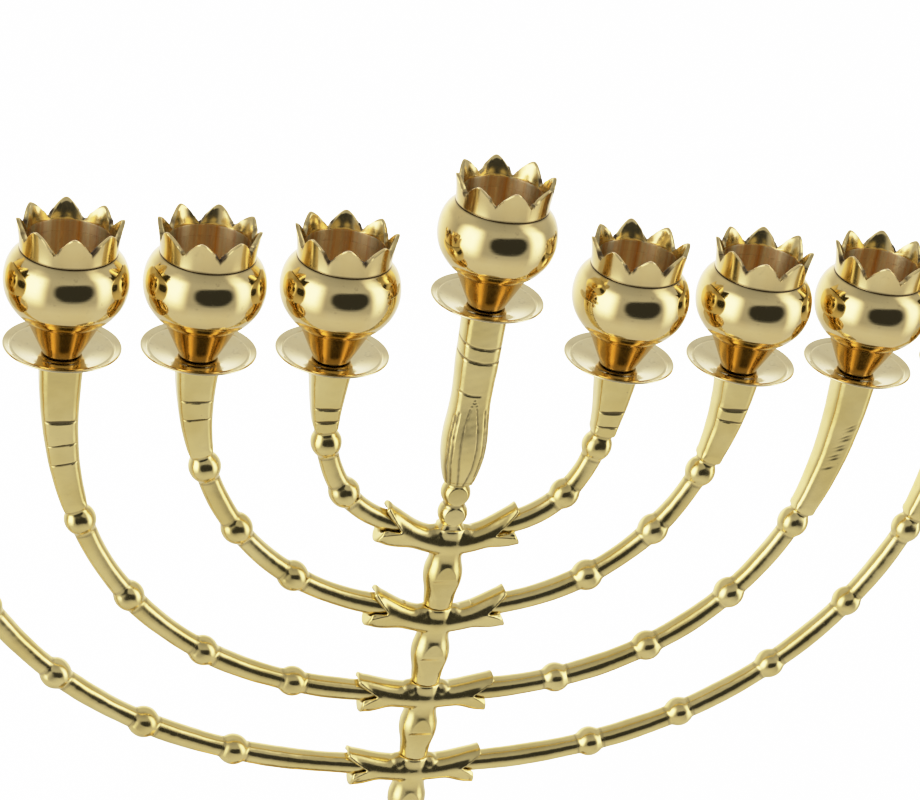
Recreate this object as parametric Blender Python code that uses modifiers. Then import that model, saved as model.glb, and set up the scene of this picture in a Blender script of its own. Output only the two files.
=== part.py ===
"""Nine-branched brass menorah: cast arms on a stacked stem, with nine candle cups that unscrew.

Metres, +Z up. The origin is the middle of the underside, the arms lie along X, the front faces -Y.
"""

import math
from collections import namedtuple

import bmesh
import bpy
from mathutils import Vector

# Overall
RIM_HEIGHT = 0.300  # the rim plane of the eight side drip dishes, above the table
SHAMASH_LIFT = 0.018  # how far the middle dish stands above the others
GAP = 0.0003  # clearance between pieces that touch
CUTTER_SPARE = 0.001  # how far a hole's cutter sticks out of the surface it cuts

# Candle cup, measured from its own dish's rim plane
DISH_RADIUS = 0.016
DISH_WELL_RADIUS = 0.0065
DISH_WELL_DEPTH = 0.0025
DISH_THICKNESS = 0.0012
FOOT_RADIUS = 0.0057
BULB_RADIUS = 0.0168
SEAM_HEIGHT = 0.0284  # where the crown meets the bulb
SEAM_RADIUS = 0.0131
SOCKET_RADIUS = 0.0115  # the candle's bore
SOCKET_FLOOR = 0.012
SEPALS = 8
NOTCH_RISE = 0.0046  # the bottom of a notch above the seam
TIP_RISE = 0.0092  # the tip of a sepal above the seam
TIP_RADIUS = 0.0142
TIP_THICKNESS = 0.0009
BORE_BELOW_NOTCH = 0.0006  # where the crown's straight bore ends, below its notches
RIM_FLAT = 0.0006  # the drip dish's lip, straight down
TURNED_SIDES = 20

# The threaded stud that holds a cup on its arm
STUD_RADIUS = 0.0025
STUD_HOLE_RADIUS = 0.0029
STUD_IN_ARM = 0.006
STUD_IN_CUP = 0.0075
STUD_HOLE_SPARE = 0.0015

# Arms: rod, knops and the posts under the dishes
ROD_HALF = 0.0033
TENON_HALF = 0.0028
KNOP_HALF = 0.0047
KNOP_HALF_LENGTH = 0.0045
POST_HALF_BOTTOM = 0.0036
POST_HALF_TOP = 0.0061
ROD_AFTER_KNOP = 0.002
STATION_STEP = 0.0085
CALYX_MOUTH = 0.020  # distance of a calyx's mouth from the stem's axis
TENON_LENGTH = 0.010
TENON_RELIEF = 0.0008  # how far the thinner tenon shows outside the calyx
TENON_HOLE_RADIUS = 0.0036

# A tier's arm follows a quarter of a superellipse: reach is its half width, root its lowest depth
# below the dish rims, shoulder the depth where it turns upright, and power its squareness. The knops
# lie at these depths.
Tier = namedtuple("Tier", "reach root shoulder power knops")
TIERS = (
    Tier(0.0421, 0.0580, 0.0082, 2.7, (0.0460, 0.0295)),
    Tier(0.0795, 0.0865, 0.0060, 2.18, (0.0747, 0.0584, 0.0380)),
    Tier(0.1166, 0.1170, 0.0056, 2.3, (0.1125, 0.1010, 0.0815, 0.0557)),
    Tier(0.1540, 0.1445, 0.0093, 2.2, (0.1375, 0.1265, 0.1085, 0.0851, 0.0576)),
)

# Stem: one casting for each tier, stacked on a tie rod
BOSS_DEPTH = 0.0628  # the first tier's boss below the side dish rims
TIER_PITCH = 0.0278
CASTING_TOP = 0.0058  # a casting's top face above its boss
NECK_HALF = 0.0044
OVAL_KNOP_HALF = 0.0054
OVAL_KNOP_DROP = 0.0111  # the oval knop's middle below the boss
CALYX_HALF_THROAT = 0.0041
CALYX_HALF_MOUTH = 0.0054
CALYX_LENGTH = 0.011  # the straight part of a calyx, back from its mouth
CALYX_FLARE = 0.005  # where it starts to open, back from its mouth
CALYX_ROOT = 0.001  # how far from the stem's axis its root starts
SHAFT_FOOT_HALF = 0.0045
SHAFT_TOP_HALF = 0.0063
LOWER_SHAFT_BOTTOM_HALF = 0.0074
TIE_ROD_RADIUS = 0.002
TIE_HOLE_RADIUS = 0.0024
TIE_ROD_IN_SHAFT = 0.016

# Base
BASE_RADIUS = 0.065
BASE_TOP = 0.045
BASE_WALL = 0.004
FELT_THICKNESS = 0.002
FELT_RADIUS = 0.0632
COLLAR_RADIUS = 0.0125
COLLAR_HEIGHT = 0.006
BASE_KNOP_RADIUS = 0.0105
BASE_KNOP_HEIGHT = 0.013
WASHER_RADIUS = 0.007
WASHER_THICKNESS = 0.0015
NUT_RADIUS = 0.00405
NUT_HEIGHT = 0.0032
TIE_ROD_BELOW_NUT = 0.003

DISH_UNDERSIDE = -DISH_WELL_DEPTH - DISH_THICKNESS
POST_TOP = DISH_UNDERSIDE - GAP  # a post's top face, from its dish's rim plane
SMOOTH_ANGLE = math.radians(35)


def clear_scene():
    for old in list(bpy.data.objects):
        bpy.data.objects.remove(old, do_unlink=True)


def collection(name):
    made = bpy.data.collections.new(name)
    bpy.context.scene.collection.children.link(made)
    return made


def metal(name, colour, roughness, metallic=1.0):
    made = bpy.data.materials.new(name)
    made.use_nodes = True
    shader = made.node_tree.nodes["Principled BSDF"]
    shader.inputs["Base Color"].default_value = (*colour, 1.0)
    shader.inputs["Roughness"].default_value = roughness
    shader.inputs["Metallic"].default_value = metallic
    made.diffuse_color = (*colour, 1.0)
    return made


clear_scene()
PARTS = collection("menorah")
CUTTERS = collection("menorah_cutters")
BRASS = metal("polished_brass", (0.86, 0.67, 0.32), 0.16)
STEEL = metal("plated_steel", (0.62, 0.61, 0.58), 0.35)
FELT = metal("green_felt", (0.03, 0.09, 0.05), 0.95, metallic=0.0)


# ---- building helpers ----
def add_object(name, mesh, material, location=(0, 0, 0), home=None):
    made = bpy.data.objects.new(name, mesh)
    made.location = location
    (home or PARTS).objects.link(made)
    if material:
        mesh.materials.append(material)
        mesh.shade_smooth()
        mesh.set_sharp_from_angle(angle=SMOOTH_ANGLE)
    return made


def turned(name, profile, material, location=(0, 0, 0), closed=False, sides=TURNED_SIDES):
    """A turned shape from (radius, height) points, which run down its outer side."""
    mesh = bpy.data.meshes.new(name)
    edges = [(i, i + 1) for i in range(len(profile) - 1)]
    if closed:
        edges.append((len(profile) - 1, 0))
    mesh.from_pydata([(radius, 0, height) for radius, height in profile], edges, [])
    made = add_object(name, mesh, None, location)
    screw = made.modifiers.new("turn", "SCREW")
    screw.steps = sides
    screw.render_steps = sides
    screw.use_merge_vertices = True
    screw.merge_threshold = 0.00001
    screw.use_smooth_shade = True
    mesh.materials.append(material)
    return made


def octagon(half_width, half_depth, cut):
    """Eight corners of a rectangle whose corners are cut off by this share of each half side."""
    near_w = half_width * (1 - cut)
    near_d = half_depth * (1 - cut)
    quarter = [(half_width, near_d), (near_w, half_depth)]
    upper = quarter + [(-u, v) for u, v in reversed(quarter)]
    return upper + [(-u, -v) for u, v in upper]


def lofted_mesh(name, rings):
    """A closed skin over rings of points, with a flat cap at each end."""
    mesh = bmesh.new()
    loops = [[mesh.verts.new(point) for point in ring] for ring in rings]
    for lower, upper in zip(loops, loops[1:]):
        for i, corner in enumerate(lower):
            after = (i + 1) % len(lower)
            mesh.faces.new((corner, lower[after], upper[after], upper[i]))
    mesh.faces.new(loops[0])
    mesh.faces.new(loops[-1])
    bmesh.ops.recalc_face_normals(mesh, faces=mesh.faces)
    data = bpy.data.meshes.new(name)
    mesh.to_mesh(data)
    mesh.free()
    return data


def column_rings(stations):
    """Rings up the Z axis from (height, half width, half depth, corner cut)."""
    return [
        [Vector((u, v, height)) for u, v in octagon(half_width, half_depth, cut)]
        for height, half_width, half_depth, cut in stations
    ]


def rod_cutter(name, radius, low, high, sides=12):
    """A hidden cylinder between two points, for cutting a hole."""
    low = Vector(low)
    high = Vector(high)
    mesh = bmesh.new()
    bmesh.ops.create_cone(
        mesh, cap_ends=True, segments=sides, radius1=radius, radius2=radius, depth=(high - low).length
    )
    data = bpy.data.meshes.new(name)
    mesh.to_mesh(data)
    mesh.free()
    made = add_object(name, data, None, (low + high) / 2, CUTTERS)
    made.rotation_mode = "QUATERNION"
    made.rotation_quaternion = (high - low).to_track_quat("Z", "Y")
    made.hide_render = True
    made.display_type = "WIRE"
    return made


def combine(target, other, operation):
    step = target.modifiers.new(other.name, "BOOLEAN")
    step.operation = operation
    step.solver = "EXACT"
    step.object = other


def as_guide(obj):
    """Hides a piece that has been joined into another."""
    PARTS.objects.unlink(obj)
    CUTTERS.objects.link(obj)
    obj.hide_render = True
    obj.display_type = "WIRE"


# ---- candle cups ----
def dish_profile():
    """A shallow saucer with a hole: across the top from the hole to the rim, then back underneath."""
    return [
        (STUD_HOLE_RADIUS, -DISH_WELL_DEPTH),
        (DISH_WELL_RADIUS, -DISH_WELL_DEPTH),
        (0.87 * DISH_RADIUS, -0.0004),
        (DISH_RADIUS, 0),
        (DISH_RADIUS, -RIM_FLAT),
        (DISH_WELL_RADIUS + 0.0005, DISH_UNDERSIDE),
        (STUD_HOLE_RADIUS, DISH_UNDERSIDE),
    ]


def bulb_profile():
    """The pomegranate: from the socket's floor up its wall, over the seam, down the outside, and up
    the stud's blind hole."""
    seam = SEAM_HEIGHT - GAP
    foot = -DISH_WELL_DEPTH + GAP
    return [
        (0, SOCKET_FLOOR),
        (SOCKET_RADIUS, SOCKET_FLOOR),
        (SOCKET_RADIUS, seam),
        (SEAM_RADIUS, seam),
        (0.89 * BULB_RADIUS, 0.0261),
        (0.97 * BULB_RADIUS, 0.0233),
        (BULB_RADIUS, 0.0196),
        (0.95 * BULB_RADIUS, 0.0153),
        (0.81 * BULB_RADIUS, 0.0115),
        (0.64 * BULB_RADIUS, 0.0083),
        (0.44 * BULB_RADIUS, 0.0029),
        (FOOT_RADIUS, foot),
        (STUD_HOLE_RADIUS, foot),
        (STUD_HOLE_RADIUS, foot + STUD_IN_CUP),
        (0, foot + STUD_IN_CUP),
    ]


def crown_mesh():
    """A ring whose top edge rises to a sepal's tip and falls to a notch by turns."""
    mesh = bmesh.new()
    columns = []
    count = 2 * SEPALS
    for i in range(count):
        at_tip = i % 2 == 0
        top = SEAM_HEIGHT + (TIP_RISE if at_tip else NOTCH_RISE)
        outer_top = TIP_RADIUS if at_tip else SEAM_RADIUS + 0.0002
        inner_top = TIP_RADIUS - TIP_THICKNESS if at_tip else SOCKET_RADIUS + 0.0004
        band = SEAM_HEIGHT + NOTCH_RISE - BORE_BELOW_NOTCH
        section = (
            (SEAM_RADIUS, SEAM_HEIGHT),
            (SEAM_RADIUS + 0.0001, band),
            (outer_top, top),
            (inner_top, top),
            (SOCKET_RADIUS, band),
            (SOCKET_RADIUS, SEAM_HEIGHT),
        )
        turn = 2 * math.pi * (i + 0.5) / count
        columns.append([
            mesh.verts.new((r * math.cos(turn), r * math.sin(turn), z)) for r, z in section
        ])
    for i, column in enumerate(columns):
        after = columns[(i + 1) % count]
        for j in range(len(column)):
            k = (j + 1) % len(column)
            mesh.faces.new((column[j], after[j], after[k], column[k]))
    bmesh.ops.recalc_face_normals(mesh, faces=mesh.faces)
    data = bpy.data.meshes.new("crown")
    mesh.to_mesh(data)
    mesh.free()
    return data


def make_cup(place, x, rim):
    """One drip dish, and the bulb, crown and stud that unscrew from it, on the cup's own axis."""
    axis = bpy.data.objects.new(place + "_cup_axis", None)
    axis.location = (x, 0, rim)
    PARTS.objects.link(axis)
    dish = turned(place + "_drip_dish", dish_profile(), BRASS, closed=True)
    bulb = turned(place + "_pomegranate", bulb_profile(), BRASS)
    crown = add_object(place + "_crown", crown_mesh(), BRASS)
    stud_low = POST_TOP - STUD_IN_ARM
    stud_high = -DISH_WELL_DEPTH + STUD_IN_CUP
    bpy.ops.mesh.primitive_cylinder_add(
        vertices=12,
        radius=STUD_RADIUS,
        depth=stud_high - stud_low,
        location=(0, 0, (stud_high + stud_low) / 2),
    )
    stud = bpy.context.object
    stud.name = place + "_stud"
    move_to_parts(stud, STEEL)
    for piece in (dish, bulb, crown, stud):
        piece.parent = axis


def move_to_parts(obj, material):
    for home in list(obj.users_collection):
        home.objects.unlink(obj)
    PARTS.objects.link(obj)
    obj.data.materials.append(material)
    obj.data.shade_smooth()
    obj.data.set_sharp_from_angle(angle=SMOOTH_ANGLE)


# ---- arms ----
def arm_route(tier):
    """Points (x, z) along an arm's centreline, from the tenon's end to the post's top face."""
    drop = tier.root - tier.shoulder

    def curve(angle):
        across = tier.reach * math.cos(angle) ** (2 / tier.power)
        down = tier.shoulder + drop * math.sin(angle) ** (2 / tier.power)
        return Vector((across, 0, RIM_HEIGHT - down))

    mouth = math.acos((CALYX_MOUTH / tier.reach) ** (tier.power / 2))
    steps = 240
    points = [curve(mouth * (1 - i / steps)) for i in range(steps)]
    outward = (points[1] - points[0]).normalized()
    tenon_end = points[0] - TENON_LENGTH * outward
    post_top = Vector((tier.reach, 0, RIM_HEIGHT + POST_TOP))
    return [tenon_end, *points, curve(0), post_top]


def measured(route):
    """The distance of each of a route's points from its start."""
    lengths = [0.0]
    for before, after in zip(route, route[1:]):
        lengths.append(lengths[-1] + (after - before).length)
    return lengths


def place_along(route, lengths, distance):
    """The position and direction at a distance along a route."""
    i = 0
    while i < len(route) - 2 and lengths[i + 1] < distance:
        i += 1
    span = lengths[i + 1] - lengths[i]
    share = (distance - lengths[i]) / span
    direction = (route[i + 1] - route[i]).normalized()
    return route[i].lerp(route[i + 1], share), direction


def distance_at_depth(route, lengths, depth):
    """How far along the route the arm is this deep below the dish rims."""
    for i in range(2, len(route)):
        if route[i].z >= RIM_HEIGHT - depth:
            return lengths[i]
    return lengths[-1]


def arm_stations(tier, route, lengths):
    """(distance, half size, corner cut) for every ring of an arm, tenon first."""
    knop_shape = ((-1, 0.62), (-0.6, 0.86), (0, 1.0), (0.6, 0.86), (1, 0.66))
    rings = [(0.0, TENON_HALF, 0.5), (TENON_LENGTH + TENON_RELIEF, TENON_HALF, 0.5)]
    knops = [distance_at_depth(route, lengths, depth) for depth in tier.knops]
    begin = TENON_LENGTH + 2.5 * TENON_RELIEF
    for middle in knops:
        end = middle - KNOP_HALF_LENGTH
        spans = max(1, round((end - begin) / STATION_STEP))
        rings += [(begin + (end - begin) * i / spans, ROD_HALF, 0.5) for i in range(spans)]
        rings += [
            (middle + along * KNOP_HALF_LENGTH, size * KNOP_HALF, 0.5) for along, size in knop_shape
        ]
        begin = middle + KNOP_HALF_LENGTH + ROD_AFTER_KNOP
    post = lengths[-1] - begin
    spans = max(3, round(post / STATION_STEP))
    for i in range(spans + 1):
        share = i / spans
        half = POST_HALF_BOTTOM + (POST_HALF_TOP - POST_HALF_BOTTOM) * share
        rings.append((begin + post * share, half, 0.34))
    return rings


def make_arm(number, tier, side):
    """One arm, tenon, knops and post, lofted along its route; side is 1 on the right, -1 on the left."""
    route = arm_route(tier)
    lengths = measured(route)
    rings = []
    for distance, half, cut in arm_stations(tier, route, lengths):
        middle, along = place_along(route, lengths, distance)
        across = Vector((along.z, 0, -along.x))
        ring = []
        for u, v in octagon(half, half, cut):
            point = middle + across * u + Vector((0, v, 0))
            ring.append((side * point.x, point.y, point.z))
        rings.append(ring)
    name = ("right" if side > 0 else "left") + f"_arm_{number}"
    arm = add_object(name, lofted_mesh(name, rings), BRASS)
    x = side * tier.reach
    top = RIM_HEIGHT + POST_TOP
    hole = rod_cutter(
        name + "_stud_hole",
        STUD_HOLE_RADIUS,
        (x, 0, top - STUD_IN_ARM - STUD_HOLE_SPARE),
        (x, 0, top + CUTTER_SPARE),
    )
    combine(arm, hole, "DIFFERENCE")


# ---- stem ----
def make_casting(number, tier):
    """A tier's casting: a column with a boss and an oval knop, and a calyx each side for the arms."""
    boss = RIM_HEIGHT - BOSS_DEPTH - (number - 1) * TIER_PITCH
    top = boss + CASTING_TOP
    bottom = top - TIER_PITCH + GAP
    knop = boss - OVAL_KNOP_DROP
    stations = (
        (bottom, 0.92 * NECK_HALF),
        (knop - 0.0058, NECK_HALF),
        (knop - 0.0032, 0.92 * OVAL_KNOP_HALF),
        (knop, OVAL_KNOP_HALF),
        (knop + 0.0032, 0.92 * OVAL_KNOP_HALF),
        (knop + 0.0056, NECK_HALF),
        (boss, 1.08 * NECK_HALF),
        (top, 0.92 * NECK_HALF),
    )
    rings = column_rings([(height, half, 0.92 * half, 0.45) for height, half in stations])
    name = f"tier_{number}_casting"
    casting = add_object(name, lofted_mesh(name, rings), BRASS)

    route = arm_route(tier)
    outward = (route[2] - route[1]).normalized()
    for side in (-1, 1):
        mouth = Vector((side * route[1].x, 0, route[1].z))
        along = Vector((side * outward.x, 0, outward.z))
        upright = Vector((-side * outward.z, 0, outward.x))
        root = Vector((side * CALYX_ROOT, 0, boss))
        throat = mouth - CALYX_LENGTH * along
        sections = (
            (root, 0.90 * CALYX_HALF_THROAT),
            (throat, 0.95 * CALYX_HALF_THROAT),
            (mouth - CALYX_FLARE * along, 1.12 * CALYX_HALF_THROAT),
            (mouth, CALYX_HALF_MOUTH),
        )
        calyx_rings = []
        for middle, half in sections:
            corners = octagon(half, 0.92 * half, 0.5)
            calyx_rings.append([middle + upright * u + Vector((0, v, 0)) for u, v in corners])
        calyx = add_object(f"{name}_calyx_{side}", lofted_mesh(name + "_calyx", calyx_rings), BRASS)
        as_guide(calyx)
        combine(casting, calyx, "UNION")
        bore = rod_cutter(
            f"{name}_tenon_hole_{side}",
            TENON_HOLE_RADIUS,
            mouth - (TENON_LENGTH + GAP) * along,
            mouth + 4 * CUTTER_SPARE * along,
        )
        combine(casting, bore, "DIFFERENCE")
    tie_hole = rod_cutter(
        name + "_tie_hole", TIE_HOLE_RADIUS, (0, 0, bottom - CUTTER_SPARE), (0, 0, top + CUTTER_SPARE)
    )
    combine(casting, tie_hole, "DIFFERENCE")
    return bottom


def leaf_shaft_stations(low, high, foot_half, top_half):
    """A shaft that starts with two beads, swells into a leaf-carved bulge, and widens to its top.

    Heights are shares of the distance from low to high."""
    shape = (
        (0.000, 0.72, 0.45),
        (0.020, 0.98, 0.45),
        (0.060, 1.04, 0.45),
        (0.090, 0.86, 0.45),
        (0.125, 1.04, 0.45),
        (0.160, 0.96, 0.45),
        (0.185, 0.84, 0.40),
        (0.270, 1.10, 0.36),
        (0.385, 1.34, 0.36),
        (0.480, 1.26, 0.36),
        (0.570, 1.13, 0.34),
        (0.760, 1.17, 0.34),
    )
    rings = [
        (low + (high - low) * share, foot_half * size, 0.94 * foot_half * size, cut)
        for share, size, cut in shape
    ]
    rings.append((high, top_half, 0.94 * top_half, 0.34))
    return rings


def make_shamash_shaft():
    low = RIM_HEIGHT - BOSS_DEPTH + CASTING_TOP + GAP
    high = RIM_HEIGHT + SHAMASH_LIFT + POST_TOP
    rings = column_rings(leaf_shaft_stations(low, high, SHAFT_FOOT_HALF, SHAFT_TOP_HALF))
    shaft = add_object("shamash_shaft", lofted_mesh("shamash_shaft", rings), BRASS)
    stud_hole = rod_cutter(
        "shamash_shaft_stud_hole",
        STUD_HOLE_RADIUS,
        (0, 0, high - STUD_IN_ARM - STUD_HOLE_SPARE),
        (0, 0, high + CUTTER_SPARE),
    )
    combine(shaft, stud_hole, "DIFFERENCE")
    tie_top = low + TIE_ROD_IN_SHAFT
    tie_hole = rod_cutter(
        "shamash_shaft_tie_hole", TIE_HOLE_RADIUS, (0, 0, low - CUTTER_SPARE), (0, 0, tie_top + GAP)
    )
    combine(shaft, tie_hole, "DIFFERENCE")
    return tie_top


def make_lower_shaft(low, high):
    """The shaft between the base's knop and the lowest casting, widest near its foot."""
    turned_over = leaf_shaft_stations(high, low, SHAFT_FOOT_HALF, LOWER_SHAFT_BOTTOM_HALF)
    rings = column_rings(list(reversed(turned_over)))
    shaft = add_object("lower_shaft", lofted_mesh("lower_shaft", rings), BRASS)
    hole = rod_cutter(
        "lower_shaft_hole", TIE_HOLE_RADIUS, (0, 0, low - CUTTER_SPARE), (0, 0, high + CUTTER_SPARE)
    )
    combine(shaft, hole, "DIFFERENCE")


# ---- base ----
def foot_profile():
    """A stepped bell foot with a hollow underside and a hole for the tie rod."""
    rim = FELT_THICKNESS + GAP
    outside = [
        (TIE_HOLE_RADIUS, BASE_TOP),
        (0.17 * BASE_RADIUS, BASE_TOP),
        (0.20 * BASE_RADIUS, 0.0415),
        (0.25 * BASE_RADIUS, 0.0355),
        (0.36 * BASE_RADIUS, 0.0295),
        (0.55 * BASE_RADIUS, 0.0255),
        (0.66 * BASE_RADIUS, 0.0235),
        (0.69 * BASE_RADIUS, 0.0185),
        (0.83 * BASE_RADIUS, 0.0150),
        (0.94 * BASE_RADIUS, 0.0110),
        (BASE_RADIUS, 0.0065),
        (BASE_RADIUS, rim),
    ]
    inside = [
        (0.945 * BASE_RADIUS, rim),
        (0.90 * BASE_RADIUS, 0.0080),
        (0.66 * BASE_RADIUS, 0.0140),
        (0.61 * BASE_RADIUS, 0.0200),
        (0.34 * BASE_RADIUS, 0.0250),
        (0.17 * BASE_RADIUS, 0.0330),
        (0.14 * BASE_RADIUS, BASE_TOP - BASE_WALL),
        (TIE_HOLE_RADIUS, BASE_TOP - BASE_WALL),
    ]
    return outside + inside


def ring_profile(inner, outer, low, high):
    return [(inner, high), (outer, high), (outer, low), (inner, low)]


def bead_profile(inner, radius, low, high, waist):
    """A turned bead around a hole, narrowing to waist times its radius at both ends."""
    steps = 5
    side = []
    for i in range(steps + 1):
        turn = math.pi * i / steps
        size = waist + (1 - waist) * math.sin(turn)
        side.append((radius * size, high + (low - high) * i / steps))
    return [(inner, high), *side, (inner, low)]


def make_base():
    """The felt, the foot, and the collar and knop above it; gives the knop's top."""
    bpy.ops.mesh.primitive_cylinder_add(
        vertices=32, radius=FELT_RADIUS, depth=FELT_THICKNESS, location=(0, 0, FELT_THICKNESS / 2)
    )
    felt = bpy.context.object
    felt.name = "felt_pad"
    move_to_parts(felt, FELT)
    turned("base_foot", foot_profile(), BRASS, closed=True, sides=28)

    collar_low = BASE_TOP + GAP
    collar_high = collar_low + COLLAR_HEIGHT
    collar = bead_profile(TIE_HOLE_RADIUS, COLLAR_RADIUS, collar_low, collar_high, 0.82)
    turned("base_collar", collar, BRASS, closed=True)

    knop_low = collar_high + GAP
    knop_high = knop_low + BASE_KNOP_HEIGHT
    knop = bead_profile(TIE_HOLE_RADIUS, BASE_KNOP_RADIUS, knop_low, knop_high, 0.62)
    turned("base_knop", knop, BRASS, closed=True)
    return knop_high


def make_tie(rod_top):
    """The rod that pulls the stack together, with its washer and nut inside the foot."""
    washer_high = BASE_TOP - BASE_WALL - GAP
    washer_low = washer_high - WASHER_THICKNESS
    washer = ring_profile(TIE_HOLE_RADIUS, WASHER_RADIUS, washer_low, washer_high)
    turned("tie_washer", washer, STEEL, closed=True, sides=16)

    nut_high = washer_low - GAP
    nut_low = nut_high - NUT_HEIGHT
    nut = ring_profile(TIE_HOLE_RADIUS, NUT_RADIUS, nut_low, nut_high)
    turned("tie_nut", nut, STEEL, closed=True, sides=6)

    rod_low = nut_low - TIE_ROD_BELOW_NUT
    bpy.ops.mesh.primitive_cylinder_add(
        vertices=12, radius=TIE_ROD_RADIUS, depth=rod_top - rod_low, location=(0, 0, (rod_top + rod_low) / 2)
    )
    rod = bpy.context.object
    rod.name = "tie_rod"
    move_to_parts(rod, STEEL)


def main():
    for number, tier in enumerate(TIERS, start=1):
        for side, word in ((-1, "left"), (1, "right")):
            make_arm(number, tier, side)
            make_cup(f"{word}_{number}", side * tier.reach, RIM_HEIGHT)
        stack_bottom = make_casting(number, tier)
    make_cup("shamash", 0, RIM_HEIGHT + SHAMASH_LIFT)
    tie_top = make_shamash_shaft()
    knop_high = make_base()
    make_lower_shaft(knop_high + GAP, stack_bottom - GAP)
    make_tie(tie_top)


main()
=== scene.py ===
"""The looks of a nine-branched brass menorah: a finely shaped mesh for every solid of the CAD frame.

Lengths in this script are millimetres unless a name says otherwise, and become metres when a mesh is made.
"""

import math
from collections import namedtuple

import bpy
import numpy as np
from mathutils import Matrix, Vector


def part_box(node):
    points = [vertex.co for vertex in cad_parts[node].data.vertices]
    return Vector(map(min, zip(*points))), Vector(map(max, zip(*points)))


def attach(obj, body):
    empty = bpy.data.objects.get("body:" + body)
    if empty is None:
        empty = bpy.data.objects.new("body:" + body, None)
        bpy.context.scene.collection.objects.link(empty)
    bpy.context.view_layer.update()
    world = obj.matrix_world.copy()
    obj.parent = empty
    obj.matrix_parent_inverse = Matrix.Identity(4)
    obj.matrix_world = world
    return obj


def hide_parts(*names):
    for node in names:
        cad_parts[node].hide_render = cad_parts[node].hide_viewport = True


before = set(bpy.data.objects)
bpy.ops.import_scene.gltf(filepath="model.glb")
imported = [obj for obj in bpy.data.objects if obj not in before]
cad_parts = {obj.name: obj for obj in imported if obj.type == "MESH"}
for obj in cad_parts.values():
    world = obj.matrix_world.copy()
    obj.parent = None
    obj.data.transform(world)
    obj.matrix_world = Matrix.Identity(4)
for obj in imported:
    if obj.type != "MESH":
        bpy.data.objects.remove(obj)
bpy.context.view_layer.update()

MM = 0.001
SIDES = ("left", "right")
PLACES = ("left_4", "left_3", "left_2", "left_1", "shamash", "right_1", "right_2", "right_3", "right_4")
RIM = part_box("left_1_drip_dish")[1].z / MM  # the eight side dishes' rim plane

# Candle cup, from its dish's rim plane
SEAM = 28.4  # where the crown meets the bulb
SEAM_GAP = 0.3
SEAM_RADIUS = 13.05
BORE_RADIUS = 11.5
BORE_FLOOR = 12.0
BORE_BELOW_NOTCH = 0.35  # where the bore ends and the sepals start to thin
CONE_TOP = 8.45  # where the bulb turns into its conical foot
NOTCH_RISE = 3.6
TIP_RISE = 8.5
SEPALS = 8
CROWN_FLARE = 1.1
TIP_THICKNESS = 0.95
DISH_WELL = -2.5
DISH_BOTTOM = -3.7
STUD_HOLE = 2.9
STUD_RADIUS = 2.5
STUD_PITCH = 0.8
STUD_LENGTH_IN_POST = 6.0
STUD_HOLE_DEPTH = 7.5
POST_TOP = -4.0

# Arms, as in the CAD: reach, the curve's lowest and highest depth below the rims, its squareness, and
# the depths of the knops
Tier = namedtuple("Tier", "reach root shoulder power knops")
TIERS = (
    Tier(42.1, 58.0, 8.2, 2.7, (46.0, 29.5)),
    Tier(79.5, 86.5, 6.0, 2.18, (74.7, 58.4, 38.0)),
    Tier(116.6, 117.0, 5.6, 2.3, (112.5, 101.0, 81.5, 55.7)),
    Tier(154.0, 144.5, 9.3, 2.2, (137.5, 126.5, 108.5, 85.1, 57.6)),
)
ROD_HALF = 3.3
TENON_HALF = 2.8
TENON_LENGTH = 10.0
KNOP_HALF = 4.7
POST_HALF_BOTTOM = 3.6
POST_HALF_TOP = 6.1
CALYX_MOUTH = 20.0

# Stem
BOSS_DEPTH = 62.8
TIER_PITCH = 27.8
CASTING_TOP = 5.8
CASTING_GAP = 0.3
OVAL_KNOP_DROP = 11.1
TIE_HOLE = 2.4
SHAFT_FOOT_HALF = 4.65
SHAFT_TOP_HALF = 6.35
SHAFT_BORE_DEPTH = 16.3
LOWER_SHAFT_FOOT_HALF = 4.7
LOWER_SHAFT_TOP_HALF = 7.4
FIRST_BEAD = 4.1  # the middle of the lower bead, above the shaft's end
BEAD_PITCH = 6.9
BEAD_RADIUS = 4.45
BEAD_WAIST = 3.3
BEAD_FLAT = 3.35


# ---- meshes ----
def skin(name, rings, patina_and_shade=None, closed=False, slot_rows=None, crease=50):
    """A quad mesh over rings (rings x points x 3), capped at its ends or joined from last to first."""
    rings = np.asarray(rings, float)
    count, sides = rings.shape[:2]
    rows = np.arange(count if closed else count - 1)[:, None]
    across = np.arange(sides)
    after = (across + 1) % sides
    here = rows * sides
    above = (rows + 1) % count * sides
    quads = np.stack([here + across, here + after, above + after, above + across], -1).reshape(-1, 4)
    faces = quads.tolist()
    if not closed:
        faces.append(list(range(sides))[::-1])
        faces.append([(count - 1) * sides + i for i in range(sides)])
    points = rings.reshape(-1, 3)
    a, b, c, d = (points[quads[:, i]] for i in range(4))
    volume = (np.cross(b - a, c - a) * a).sum() + (np.cross(c - a, d - a) * a).sum()
    if volume < 0:
        faces = [face[::-1] for face in faces]
    mesh = bpy.data.meshes.new(name)
    mesh.from_pydata((points * MM).tolist(), [], faces)
    # patina_and_shade: per-point darkness, dark patina in grooves together with painted shade in creases,
    # gaps, recesses and where parts touch
    if patina_and_shade is None:
        patina_and_shade = np.zeros((count, sides))
    shade = mesh.attributes.new("patina_and_shade", "FLOAT", "POINT")
    shade.data.foreach_set("value", np.clip(patina_and_shade, 0, 1).astype(np.float32).ravel())
    if slot_rows is not None:
        slots = np.repeat(np.asarray(slot_rows)[: len(rows)], sides).tolist() + [0, 0]
        mesh.polygons.foreach_set("material_index", slots[: len(faces)])
    mesh.shade_smooth()
    mesh.set_sharp_from_angle(angle=math.radians(crease))
    made = bpy.data.objects.new(name, mesh)
    bpy.context.scene.collection.objects.link(made)
    return made


def turns(sides):
    """Equal steps of angle, once round."""
    return np.arange(sides) * 2 * math.pi / sides


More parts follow.
